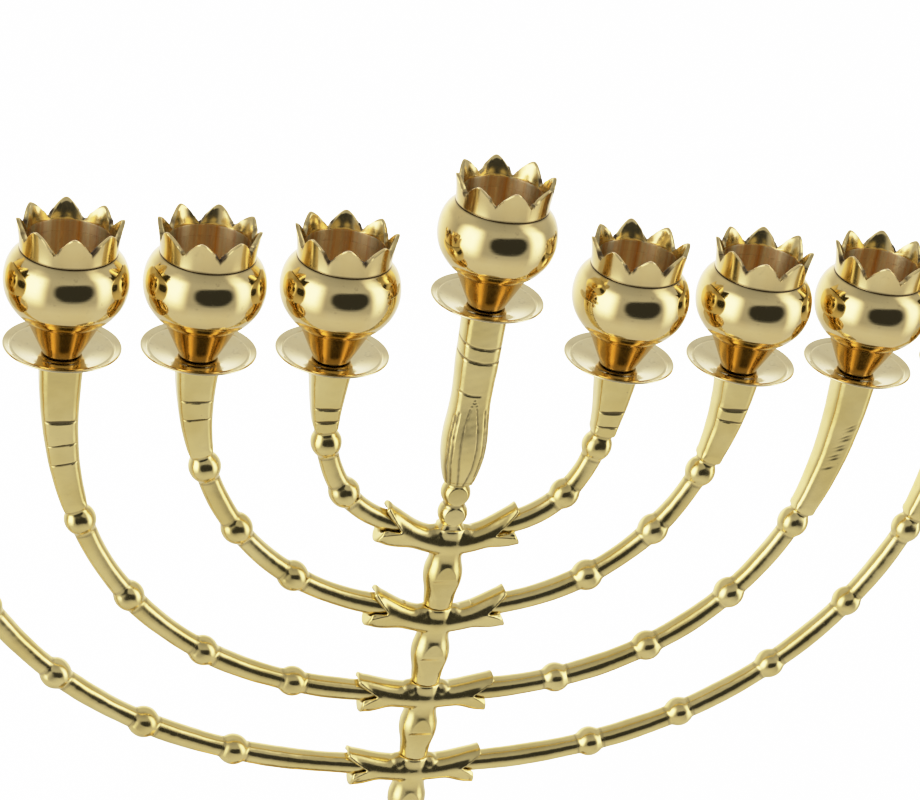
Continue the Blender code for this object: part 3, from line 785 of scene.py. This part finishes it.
def bored(rings, radius, spare=0.12):
    """A column's rings with a hole up the middle, as one closed loop of rings."""
    turn = turns(rings.shape[1])
    heights = rings[:, :, 2].mean(axis=1)
    inner = [hoop(radius + spare, height, turn) for height in (heights[-1], heights[0])]
    return np.concatenate([rings, inner])


def calyx_rings(tier, boss, sign, lip):
    """One fish-mouthed socket: outside from the stem to the lips, then back inside along the bore.
    The lower lip turns down, away from the arm."""
    line, _, _ = arm_line(tier)
    mouth = line[1]
    root = np.array([0.0, boss])
    elbow = np.array([9.0, boss + 0.5])
    turn = turns(96)
    up = np.cos(turn)
    corner = 0.08
    above = np.clip((up - corner) / (1 - corner), 0, 1)
    below = np.clip((corner - up) / (1 + corner), 0, 1)
    upper = np.minimum(1, 1.3 * above)
    lower = np.minimum(1, 2.3 * below) ** 0.8
    turned_down = 2.1 * np.minimum(1, 1.5 * below)
    reach = lip.notch + (lip.upper - lip.notch) * upper + (lip.lower - lip.notch) * lower
    rings = []

    def ring(at, half_up, half_front, lift=0.0, droop=0.0):
        t = (at / mouth[0])[:, None]
        centre = root * (1 - t) ** 2 + elbow * 2 * t * (1 - t) + mouth * t**2
        heading = 2 * (elbow - root) * (1 - t) + 2 * (mouth - elbow) * t
        heading /= np.linalg.norm(heading, axis=1, keepdims=True)
        shape = section(turn, 2.4, 0.35)
        u = half_up * shape * up + lift - droop * turned_down
        v = half_front * shape * np.sin(turn)
        x = centre[:, 0] - heading[:, 1] * u
        z = centre[:, 1] + heading[:, 0] * u
        rings.append(np.stack([sign * x, v, z], -1))

    for f in (-0.12, *np.linspace(0, 1, 34)):
        at = f * reach
        swell = step_up(at, 9.0, 21.0)
        rolled = 0.35 * peak(at, reach, 0.9)
        drop = step_up(at, 10.0, 17.5)
        ring(at, 4.25 + 1.05 * swell + rolled, 4.6 + 0.05 * swell + 0.6 * rolled, 0.2 * swell, drop)
    ring(reach + 0.25, 5.0 + 0 * reach, 4.35 + 0 * reach, 0.2, 0.85)
    ring(reach + 0.25, 4.2 + 0 * reach, 3.95 + 0 * reach, 0.1)
    for f in (0.97, 0.9, 0.8, 0.7, 0.6):
        ring(f * reach, 3.55 + 0 * reach, 3.5 + 0 * reach)
    return rings


Lip = namedtuple("Lip", "upper lower notch")
CALYX_LIPS = {
    (1, "left"): Lip(21.9, 19.3, 15.6), (1, "right"): Lip(21.6, 18.2, 13.4),
    (2, "left"): Lip(21.6, 19.4, 16.0), (2, "right"): Lip(21.8, 18.6, 15.2),
    (3, "left"): Lip(21.6, 19.0, 15.2), (3, "right"): Lip(21.6, 18.8, 15.0),
    (4, "left"): Lip(21.6, 18.7, 15.0), (4, "right"): Lip(21.6, 18.9, 15.4),
}


def distance_from_arm(tier, x, z):
    """How far points are above or below the straight line of an arm's tenon, square to it."""
    line, _, outward = arm_line(tier)
    return (z - line[1][1]) * outward[0] - (x - line[1][0]) * outward[1]


def fused(name, shapes, voxel, junction):
    """Closed shapes melted into one surface, as they would be in one mould, with deeper fillets inside
    the junction: a (height, half width, half height) box around the stem."""
    joined = bpy.data.meshes.new(name)
    vertices = []
    faces = []
    for shape in shapes:
        base = len(vertices)
        vertices += [v.co[:] for v in shape.data.vertices]
        faces += [[base + i for i in p.vertices] for p in shape.data.polygons]
        bpy.data.objects.remove(shape)
    joined.from_pydata(vertices, [], faces)
    made = bpy.data.objects.new(name, joined)
    bpy.context.scene.collection.objects.link(made)
    remesh = made.modifiers.new("fuse", "REMESH")
    remesh.mode = "VOXEL"
    remesh.voxel_size = voxel * MM
    soften = made.modifiers.new("soften", "SMOOTH")
    soften.factor = 0.5
    soften.iterations = 7
    shown = made.evaluated_get(bpy.context.evaluated_depsgraph_get())
    made.data = bpy.data.meshes.new_from_object(shown)
    made.modifiers.clear()
    x, _, z = points_of(made).T
    height, half_width, half_height = junction
    inside = step_up(half_width - np.abs(x), 0, 3) * step_up(half_height - np.abs(z - height), 0, 2)
    group = made.vertex_groups.new(name="junction")
    for index in np.flatnonzero(inside > 0.02):
        group.add([int(index)], float(inside[index]), "REPLACE")
    fillet = made.modifiers.new("fillet", "SMOOTH")
    fillet.factor = 0.5
    fillet.iterations = 36
    fillet.vertex_group = group.name
    shown = made.evaluated_get(bpy.context.evaluated_depsgraph_get())
    made.data = bpy.data.meshes.new_from_object(shown)
    made.modifiers.clear()
    made.vertex_groups.clear()
    return made


def points_of(obj):
    """A mesh's points in millimetres."""
    flat = np.zeros(len(obj.data.vertices) * 3)
    obj.data.vertices.foreach_get("co", flat)
    return flat.reshape(-1, 3) / MM


def set_points(obj, points, patina_and_shade):
    """Move a mesh's points, and give each its darkness: dark patina together with painted shade."""
    obj.data.vertices.foreach_set("co", (points * MM).ravel())
    shade = obj.data.attributes.new("patina_and_shade", "FLOAT", "POINT")
    shade.data.foreach_set("value", np.clip(patina_and_shade, 0, 1).astype(np.float32))
    obj.data.update()
    obj.data.shade_smooth()


def ball(centre, radius):
    turn = np.linspace(-math.pi / 2 + 0.02, math.pi / 2 - 0.02, 16)
    profile = [(radius * math.cos(t), radius * math.sin(t)) for t in turn]
    return skin("ball", np.array(turned_rings(profile, 24)) + np.array(centre))


def boss_ring(boss):
    """The rounded mass where a tier's two sockets meet, with the tie rod's hole through it."""
    half_width = 5.9
    half_depth = 4.9
    hole = TIE_HOLE + 0.12
    turn = np.linspace(math.radians(62), math.radians(-62), 14)
    side = [(half_width * math.cos(t), boss + 0.2 + 5.2 * math.sin(t)) for t in turn]
    rings = np.array(turned_rings([(hole, boss + 4.6), *side, (hole, boss - 4.6)], 48))
    outer = np.hypot(rings[..., 0], rings[..., 1]) > hole + 0.18
    rings[..., 1] *= np.where(outer, half_depth / half_width, 1)
    return skin("boss", rings, closed=True)


def make_casting(number, tier):
    """A tier's part of the stem: a boss with a socket on each side, over an oval knop."""
    boss = RIM - BOSS_DEPTH - (number - 1) * TIER_PITCH
    top = boss + CASTING_TOP
    bottom = top - TIER_PITCH + CASTING_GAP
    knop = boss - OVAL_KNOP_DROP
    stations = (
        (bottom, 4.5, 4.3), (bottom + 2.5, 4.75, 4.5), (knop - 6.6, 4.9, 4.6), (knop - 4.6, 5.3, 5.0),
        (knop - 2.2, 5.85, 5.5), (knop, 6.05, 5.7), (knop + 2.2, 5.9, 5.5), (knop + 4.4, 5.35, 5.0),
        (knop + 6.4, 5.0, 4.6), (boss - 2, 4.9, 4.6), (boss + 2, 4.8, 4.5), (top, 4.5, 4.3),
    )
    rings = bored(column(stations, 64, 2.15, 0.2), TIE_HOLE)
    shapes = [skin("stem", rings, closed=True), boss_ring(boss)]
    for sign in (-1, 1):
        shapes.append(ball((sign * 4.9, -0.7, boss + 2.7), 3.3))
    for side, sign in zip(SIDES, (-1, 1)):
        shapes.append(skin("calyx", calyx_rings(tier, boss, sign, CALYX_LIPS[number, side])))
    name = f"tier_{number}_casting"
    casting = fused(name + "_filed", shapes, 0.26, (boss + 1.0, 13.0, 7.5))
    points = points_of(casting)
    x, y, z = points.T
    lower_flat = -4.15 - 0.45 * np.clip(z - knop + 1.2, 0, None)
    on_stem = step_up(6.5 - np.abs(x), 0, 1.5) * step_up(boss - 3.0 - z, 0, 1.0)
    flat = np.maximum(-4.85, lower_flat * on_stem - 9 * (1 - on_stem))
    y = np.where(y < flat, flat + (y - flat) * 0.12, y)
    points = np.stack([x, y, z], -1)
    waves = ((11, number), (13, number + 5), (9, number + 9))
    points += 0.09 * np.stack([ripple(points, wavelength, seed) for wavelength, seed in waves], -1)
    points[:, 2] = np.clip(points[:, 2], bottom, None)
    # Painted shade: darker round the cheeks and inside each socket's bore
    cheeks = peak(np.abs(x), 5.6, 1.0) * peak(z, boss + 4.4, 1.0)
    from_bore = np.hypot(y, distance_from_arm(tier, np.abs(x), z))
    bore = step_up(np.abs(x), 14.0, 16.0) * (from_bore < 3.85)
    set_points(casting, points, np.maximum(0.45 * cheeks, 0.5 * bore))
    finish_piece(casting, "frame", name, "cast_brass", CAST_BRASS)


def stroke_depth(x, z, strokes):
    """How deep each point lies in engraved strokes, each given as ((x, z) points, half width)."""
    depth = np.zeros_like(x)
    for path, half_width in strokes:
        nearest = np.full_like(x, 1e9)
        for (x0, z0), (x1, z1) in zip(path, path[1:]):
            dx = x1 - x0
            dz = z1 - z0
            t = np.clip(((x - x0) * dx + (z - z0) * dz) / (dx * dx + dz * dz), 0, 1)
            nearest = np.minimum(nearest, np.hypot(x - x0 - t * dx, z - z0 - t * dz))
        depth = np.maximum(depth, np.exp(-((nearest / half_width) ** 2)))
    return depth


# Engraving on the shamash shaft's front face: x from the axis, z from the side dishes' rim plane
LEAF_STROKES = (
    (((-1.3, -15.4), (-2.2, -21.0), (-2.5, -26.5), (-2.2, -32.5), (-1.1, -41.2)), 0.30),
    (((0.7, -15.2), (1.8, -21.0), (2.4, -28.0), (2.1, -35.0), (0.6, -41.7)), 0.30),
    (((-4.1, -17.0), (-4.7, -25.0), (-4.4, -34.0), (-3.2, -42.0)), 0.26),
    (((-5.0, -18.0), (-5.7, -26.0), (-5.4, -35.0), (-3.9, -41.8)), 0.24),
    (((3.5, -16.0), (4.2, -23.0), (4.6, -30.0), (3.6, -38.0)), 0.24),
    (((4.6, -17.5), (5.3, -26.0), (5.4, -32.0)), 0.22),
    (((-5.0, -10.2), (-2.0, -11.0), (1.2, -11.1)), 0.22),
)
LEAF_DOTS = ((-0.3, -12.4), (-0.6, -13.3), (-0.9, -14.2), (0.1, -13.3), (0.5, -14.1))


def leaf_stations(low, high, foot, top):
    """(height, half width, half depth) of a shaft with two beads, a leaf bulge and a widening post."""
    shape = (
        (0.000, 0.80), (0.012, 0.96), (0.205, 0.96), (0.235, 1.06), (0.285, 1.23), (0.350, 1.37),
        (0.430, 1.39), (0.520, 1.29), (0.600, 1.23), (0.690, 1.26), (0.760, 1.31), (0.870, 1.33),
    )
    stations = [(low + (high - low) * share, foot * size, 0.95 * foot * size) for share, size in shape]
    return [*stations, (high, top, 0.95 * top)]


def make_shaft(name, low, high, foot, top, bores, engraved):
    """A shaft from its beaded end at low to its wide end at high, whichever is up. Each of its two bores
    is a (radius, depth): the second is a hole in the wide end, and the first stands out of the beaded end
    as a peg. Bores as deep as the shaft is long make one hole right through."""
    sides = 128
    turn = turns(sides)
    length = abs(high - low)
    way = 1 if high > low else -1
    rings = column(leaf_stations(0, length, foot, top), sides, 7.0, 0.60, step=0.28)
    height = rings[..., 2]
    last_bead = FIRST_BEAD + BEAD_PITCH
    for at in (FIRST_BEAD, last_bead):
        ball = np.sqrt(np.clip(BEAD_RADIUS**2 - (height - at) ** 2, 0.5, None))
        near = step_up(BEAD_RADIUS + 0.15 - np.abs(height - at), 0, 0.9)
        base = np.hypot(rings[..., 0], rings[..., 1])
        wanted = np.maximum(ball, BEAD_WAIST) * near + base * (1 - near)
        size = np.where(height < last_bead + 3.9, wanted, base)
        rings[..., 0] *= size / base
        rings[..., 1] *= size / base
    past_flat = rings[..., 1] + BEAD_FLAT
    flattened = (height < last_bead + 3.6) & (past_flat < 0)
    rings[..., 1] = np.where(flattened, past_flat * 0.08 - BEAD_FLAT, rings[..., 1])
    x = rings[..., 0]
    y = rings[..., 1]
    z = low + way * height
    groove = np.zeros_like(x)
    faced = y < -0.35 * np.abs(x) - 0.5
    if engraved:
        from_rim = z - RIM
        groove = stroke_depth(x, from_rim, LEAF_STROKES) * faced
        dots = [np.exp(-(((x - dx) ** 2 + (from_rim - dz) ** 2) / 0.05)) for dx, dz in LEAF_DOTS]
        groove = np.maximum(groove, np.maximum.reduce(dots) * faced)
        bow = -0.7 * (1 - (x / 6.0) ** 2) - 0.1 * x
        for at, tall in ((4.7, 0.30), (0.2, 0.34)):
            groove = np.maximum(groove, peak(from_rim, at + bow, tall, 4) * (y < 2.5))
        groove *= 0.75 + 0.25 * ripple(np.stack([x, y, z], -1), 2.2, 8)
    # Painted shade in the creases between the beads and above the upper bead
    crease = peak(height, FIRST_BEAD + BEAD_PITCH / 2, 0.35) + peak(height, last_bead + 3.7, 0.4)
    inward = 1 - 0.30 * groove / np.hypot(x, y)
    x = x * inward
    y = y * inward
    points = np.stack([x, y, z], -1)
    uneven = 0.06 * ripple(points, 10.0, 3) + 0.025 * ripple(points, 3.2, 4)
    calm = step_up(height, 0.3, 2.0) * step_up(length - height, 0.3, 2.0)
    points[..., 0] += uneven * calm * np.cos(turn)
    points[..., 1] += uneven * calm * np.sin(turn)
    # Dark patina with painted shade in the engraving and cross grooves, and painted shade in the creases
    patina_and_shade = np.maximum(0.85 * groove, 0.5 * crease)
    ends = []
    for end, (radius, depth) in zip((low, high), bores):
        mouth = ((radius + 0.2, 0.0), (radius, 0.2), (radius, depth))
        ends.append([hoop(r, end - way * down, turn) for r, down in mouth])
    through = bores[0][1] >= length
    if through:
        rings = np.concatenate([points, ends[1][:2], ends[0][:2][::-1]])
    else:
        rings = np.concatenate([ends[0][::-1], points, ends[1]])
    shade = np.zeros(rings.shape[:2])
    start = 0 if through else 3
    shade[start : start + len(points)] = patina_and_shade
    shaft = skin(f"{name}_filed", rings, shade, closed=through, crease=36)
    finish_piece(shaft, "frame", name, "cast_brass", CAST_BRASS)


# ---- base ----
def make_base():
    """The foot, collar and knop, from the CAD's own sizes."""
    radius, rim, top = round_size(*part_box("base_foot"))
    outside = rounded([(TIE_HOLE, top), (0.165 * radius, top), (0.18 * radius, top - 0.6)], 0.5)
    neck = flowing(
        [(0.185 * radius, top - 1.2), (0.205 * radius, 41.3), (0.25 * radius, 35.4), (0.36 * radius, 29.3),
         (0.52 * radius, 25.9), (0.60 * radius, 25.0)], 0.7
    )
    shoulder = flowing(
        [(0.61 * radius, 25.3), (0.645 * radius, 24.8), (0.665 * radius, 23.4), (0.67 * radius, 21.8)], 0.4
    )
    step = flowing(
        [(0.68 * radius, 19.4), (0.70 * radius, 18.2), (0.78 * radius, 16.2), (0.88 * radius, 13.4),
         (0.93 * radius, 11.3)], 0.7
    )
    bead = flowing(
        [(0.935 * radius, 10.6), (0.96 * radius, 10.1), (0.99 * radius, 8.2), (radius - 0.02, 6.2),
         (0.985 * radius, 4.3)], 0.5
    )
    hem = rounded(
        [(0.985 * radius, 4.0), (0.995 * radius, 3.7), (0.995 * radius, rim), (0.945 * radius, rim)], 0.3
    )
    inside = flowing(
        [(0.944 * radius, rim + 0.2), (0.90 * radius, 8.0), (0.66 * radius, 14.0), (0.61 * radius, 20.0),
         (0.34 * radius, 25.0), (0.17 * radius, 33.0), (0.14 * radius, top - 4.2),
         (0.13 * radius, top - 4.0)], 1.5
    )
    outline = [*outside, *neck, *shoulder, *step, *bead, *hem, *inside, (TIE_HOLE, top - 4.0)]
    sides = 176
    heights = np.array([z for _, z in outline])
    # Painted shade in the turned grooves where the foot's curves meet
    grooves = (20.4, 25.1, 10.9, 4.1)
    shade = 0.5 * np.maximum.reduce([peak(heights, at, 0.45) for at in grooves])
    patina_and_shade = np.repeat(shade[:, None], sides, axis=1)
    foot = skin("base_foot_turned", turned_rings(outline, sides), patina_and_shade, closed=True)
    finish_piece(foot, "frame", "base_foot", "cast_brass", BASE_BRASS)

    # The collar has a fine groove round its middle
    for node, roundness, waist, groove in (("base_collar", 0.8, 0.86, 0.35), ("base_knop", 0.75, 0.62, 0.0)):
        size, bottom, crest = round_size(*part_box(node))
        share = np.linspace(0, 1, 30)
        z = crest + (bottom - crest) * share
        swell = waist + (1 - waist) * np.sin(math.pi * share).clip(0) ** roundness
        radii = size * swell - groove * peak(z, (bottom + crest) / 2, 0.35)
        outline = [(TIE_HOLE, crest), *zip(radii, z), (TIE_HOLE, bottom)]
        bead = skin(f"{node}_turned", turned_rings(outline, 112), closed=True)
        finish_piece(bead, "frame", node, "cast_brass", BASE_BRASS)


def make_felt():
    """The felt disc under the foot, with a frayed edge."""
    size, _, thick = round_size(*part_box("felt_pad"))
    turn = turns(220)
    profile = (
        (0.02, 0.0), (0.4, 0.0), (0.8, 0.0), (0.985, 0.0), (1.0, 0.35),
        (1.0, 0.75), (0.985, 1.0), (0.8, 1.0), (0.4, 1.0), (0.02, 1.0),
    )
    rows = []
    for share, height in profile:
        fuzz = 0.25 * np.sin(turn * 37) * np.sin(turn * 23 + height) * (share > 0.98)
        rows.append(hoop(size * share - 0.3 + fuzz, thick * height, turn))
    finish_piece(skin("felt_disc", rows), "frame", "felt_pad", "felt", FELT)


def make_tie():
    """The rod with threaded ends, its washer and its chamfered hexagon nut."""
    radius, bottom, top = round_size(*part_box("tie_rod"))
    pitch = 0.7
    lower, lower_shade = thread(bottom, bottom + 12, radius, pitch)
    upper, upper_shade = thread(top - 18, top, radius, pitch)
    heights = np.linspace(bottom + 12.5, top - 18.5, 12)
    sides = lower_shade.shape[1]
    plain = [hoop(0.87 * radius, z, turns(sides)) for z in heights]
    shade = np.concatenate([lower_shade, np.zeros((len(plain), sides)), upper_shade])
    rod = skin("tie_rod_threaded", [*lower, *plain, *upper], shade)
    finish_piece(rod, "frame", "tie_rod", "plated_steel", STEEL)

    size, bottom, top = round_size(*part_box("tie_washer"))
    outline = [
        (TIE_HOLE, top), (size - 0.3, top), (size, top - 0.3), (size, bottom + 0.1),
        (TIE_HOLE + 0.1, bottom), (TIE_HOLE, bottom + 0.1),
    ]
    washer = skin("tie_washer_stamped", turned_rings(rounded(outline, 0.12), 72), closed=True)
    finish_piece(washer, "frame", "tie_washer", "plated_steel", STEEL)

    size, bottom, top = round_size(*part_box("tie_nut"))
    turn = turns(96)
    flats = size * math.cos(math.pi / 6) / np.cos((turn + math.pi / 6) % (math.pi / 3) - math.pi / 6)
    hexagon = ((0.5, 0.0), (0.05, 0.14), (0.0, 0.3), (0.0, 0.7), (0.05, 0.86), (0.5, 1.0))
    hole = ((TIE_HOLE + 0.3, 1.0), (TIE_HOLE, 0.9), (TIE_HOLE, 0.1), (TIE_HOLE + 0.3, 0.0))
    thick = top - bottom
    rows = [hoop(np.minimum(flats, size - inset), bottom + thick * up, turn) for inset, up in hexagon]
    rows += [hoop(radius, bottom + thick * up, turn) for radius, up in hole]
    nut = skin("tie_nut_hexagon", rows, closed=True, crease=25)
    finish_piece(nut, "frame", "tie_nut", "plated_steel", STEEL)


# ---- studio ----
StudioPatch = namedtuple("StudioPatch", "azimuth elevation half_width half_height edge glow")
# What the polished brass mirrors, by direction in degrees: azimuth 0 is in front, positive to the right
STUDIO_PATCHES = (
    StudioPatch(180, 44, 75, 22, 12, 0.62),  # the wall above the backdrop
    StudioPatch(180, -8, 50, 24, 15, 1.4),  # the lit backdrop
    StudioPatch(-69, 7, 21, 31, 13, 2.5),  # the left softbox
    StudioPatch(68, 14, 14, 35, 9, 2.1),  # the right softbox
    StudioPatch(8, 7, 36, 23, 3.5, 0.035),  # the dark room behind the camera
)
# Elsewhere: elevations, and the brightness of floor, walls and ceiling there
STUDIO_WALLS = (
    (-90, -60, -45, -30, -18, 0, 20, 35, 50, 65, 80, 90),
    (0.58, 0.72, 0.72, 0.62, 0.46, 0.47, 0.49, 0.50, 0.48, 0.40, 0.34, 0.35),
)
DOME_CENTRE = (0.0, 0.0, 0.3)  # metres
DOME_RADIUS = 4.0  # metres


def studio_glow(azimuth, elevation):
    """The brightness of the studio in a direction, in degrees."""
    glow = np.interp(elevation, *STUDIO_WALLS)
    for patch in STUDIO_PATCHES:
        across = np.abs((azimuth - patch.azimuth + 180) % 360 - 180) / patch.half_width
        over = np.abs(elevation - patch.elevation) / patch.half_height
        outside = (across**3 + over**3) ** (1 / 3) - 1
        edge = patch.edge / min(patch.half_width, patch.half_height)
        glow = glow + (patch.glow - glow) * step_up(-outside, -edge, edge)
    return glow


def glossy_only(obj):
    """Leave an object to be seen in reflections, and in no other way."""
    obj.visible_camera = False
    obj.visible_diffuse = False
    obj.visible_shadow = False
    obj.visible_transmission = False
    obj.visible_volume_scatter = False


def make_dome():
    """A sphere round the object, seen only in its reflections, that glows like the studio."""
    azimuth = np.arange(480) * 0.75 - 180
    elevation = np.linspace(-89.9, 89.9, 300)
    a, e = np.meshgrid(np.radians(azimuth), np.radians(elevation))
    shape = np.stack([np.sin(a) * np.cos(e), -np.cos(a) * np.cos(e), np.sin(e)], -1) * DOME_RADIUS / MM
    dome = skin("studio_dome", shape)
    dome.location = DOME_CENTRE
    glow = studio_glow(*np.meshgrid(azimuth, elevation))
    values = dome.data.attributes.new("glow", "FLOAT", "POINT")
    values.data.foreach_set("value", glow.astype(np.float32).ravel())
    material = bpy.data.materials.new("studio_glow")
    material.use_nodes = True
    tree = material.node_tree
    tree.nodes.clear()
    read = tree.nodes.new("ShaderNodeAttribute")
    read.attribute_name = "glow"
    light = tree.nodes.new("ShaderNodeEmission")
    light.inputs["Color"].default_value = (1.0, 0.99, 0.97, 1.0)
    out = tree.nodes.new("ShaderNodeOutputMaterial")
    tree.links.new(read.outputs["Fac"], light.inputs["Strength"])
    tree.links.new(light.outputs[0], out.inputs["Surface"])
    dome.data.materials.append(material)
    glossy_only(dome)


def make_floor():
    """A pale floor that the camera and soft shadows see; the brass mirrors the dome instead."""
    mesh = bpy.data.meshes.new("floor")
    size = 6.0
    corners = [(-size, -size, 0), (size, -size, 0), (size, size, 0), (-size, size, 0)]
    mesh.from_pydata(corners, [], [(0, 1, 2, 3)])
    floor = bpy.data.objects.new("floor", mesh)
    bpy.context.scene.collection.objects.link(floor)
    made = Recipe("pale_floor", 0.9, metallic=0.0)
    made.shader.inputs["Base Color"].default_value = (0.86, 0.86, 0.85, 1.0)
    mesh.materials.append(made.material)
    floor.visible_glossy = False


def make_light(name, location, aim, size, power):
    """A round soft light, in metres and watts, that isn't seen itself."""
    data = bpy.data.lights.new(name, "AREA")
    data.shape = "DISK"
    data.size = size
    data.energy = power
    light = bpy.data.objects.new(name, data)
    light.location = location
    light.rotation_mode = "QUATERNION"
    light.rotation_quaternion = (Vector(aim) - Vector(location)).to_track_quat("-Z", "Y")
    light.visible_glossy = False
    light.visible_camera = False
    bpy.context.scene.collection.objects.link(light)


WORLD_STRENGTH = 3.0
CAMERA_AIM = Vector((-0.0031, 0.0, 0.2848))  # metres
CAMERA_DISTANCE = 0.6654
CAMERA_AZIMUTH = math.radians(-17.1)
CAMERA_ELEVATION = math.radians(27.6)
CAMERA_ROLL = math.radians(9.1)
CAMERA_LENS = 91.1
SHOULDER = 0.5  # above this brightness the picture's highlights are compressed, as a camera does
BRIGHTEST = 3.2


def make_camera():
    """The camera, looking at the upper part of the menorah from the left and above, and tilted."""
    a, e, roll = CAMERA_AZIMUTH, CAMERA_ELEVATION, CAMERA_ROLL
    back = Vector((math.sin(a) * math.cos(e), -math.cos(a) * math.cos(e), math.sin(e)))
    level = Vector((math.cos(a), math.sin(a), 0))
    upright = back.cross(level)
    right = level * math.cos(roll) + upright * math.sin(roll)
    up = upright * math.cos(roll) - level * math.sin(roll)
    data = bpy.data.cameras.new("camera")
    data.lens = CAMERA_LENS
    data.sensor_width = 36.0
    data.sensor_fit = "HORIZONTAL"
    data.clip_start = 0.01
    camera = bpy.data.objects.new("camera", data)
    turned = Matrix((right, up, back)).transposed().to_4x4()
    camera.matrix_world = Matrix.Translation(CAMERA_AIM + back * CAMERA_DISTANCE) @ turned
    bpy.context.scene.collection.objects.link(camera)
    bpy.context.scene.camera = camera


def shoulder(value):
    """A brightness as the picture shows it: unchanged when low, compressed when high."""
    if value <= SHOULDER:
        return value
    room = 1 - SHOULDER
    return SHOULDER + room * (1 - math.exp(-(value - SHOULDER) / room))


def make_tone():
    """Standard colours with a soft shoulder for the highlights."""
    view = bpy.context.scene.view_settings
    view.view_transform = "Standard"
    view.use_curve_mapping = True
    curves = view.curve_mapping
    curves.white_level = (BRIGHTEST, BRIGHTEST, BRIGHTEST)
    curves.extend = "HORIZONTAL"
    tone = curves.curves[3]
    stops = [0.1, 0.2, 0.3, 0.4, 0.5, 0.6, 0.7, 0.85, 1.0, 1.25, 1.5, 2.0, 2.5]
    for value in stops:
        tone.points.new(value / BRIGHTEST, shoulder(value))
    tone.points[-1].location = (1.0, 1.0)
    curves.update()


def make_studio():
    """The world, the dome that the brass mirrors, the floor, the light, the camera and the tone curve."""
    world = bpy.data.worlds.new("studio")
    bpy.context.scene.world = world
    world.use_nodes = True
    background = world.node_tree.nodes["Background"]
    background.inputs["Color"].default_value = (1.0, 1.0, 1.0, 1.0)
    background.inputs["Strength"].default_value = WORLD_STRENGTH
    make_dome()
    make_floor()
    make_light("key_light", (-0.9, -0.8, 1.6), (0, 0, 0.1), 0.8, 18.0)
    make_camera()
    make_tone()


def main():
    for number, place in enumerate(PLACES):
        make_cup(place, number)
    for number, tier in enumerate(TIERS, start=1):
        for side in SIDES:
            make_arm(side, number, tier)
        make_casting(number, tier)
    low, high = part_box("shamash_shaft")
    bores = ((TIE_HOLE, SHAFT_BORE_DEPTH), (STUD_HOLE, STUD_HOLE_DEPTH))
    make_shaft("shamash_shaft", low.z / MM, high.z / MM, SHAFT_FOOT_HALF, SHAFT_TOP_HALF, bores, True)
    low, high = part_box("lower_shaft")
    through = (TIE_HOLE, (high.z - low.z) / MM)
    sizes = (LOWER_SHAFT_FOOT_HALF, LOWER_SHAFT_TOP_HALF)
    make_shaft("lower_shaft", high.z / MM, low.z / MM, *sizes, (through, through), False)
    make_base()
    make_felt()
    make_tie()
    make_studio()


main()
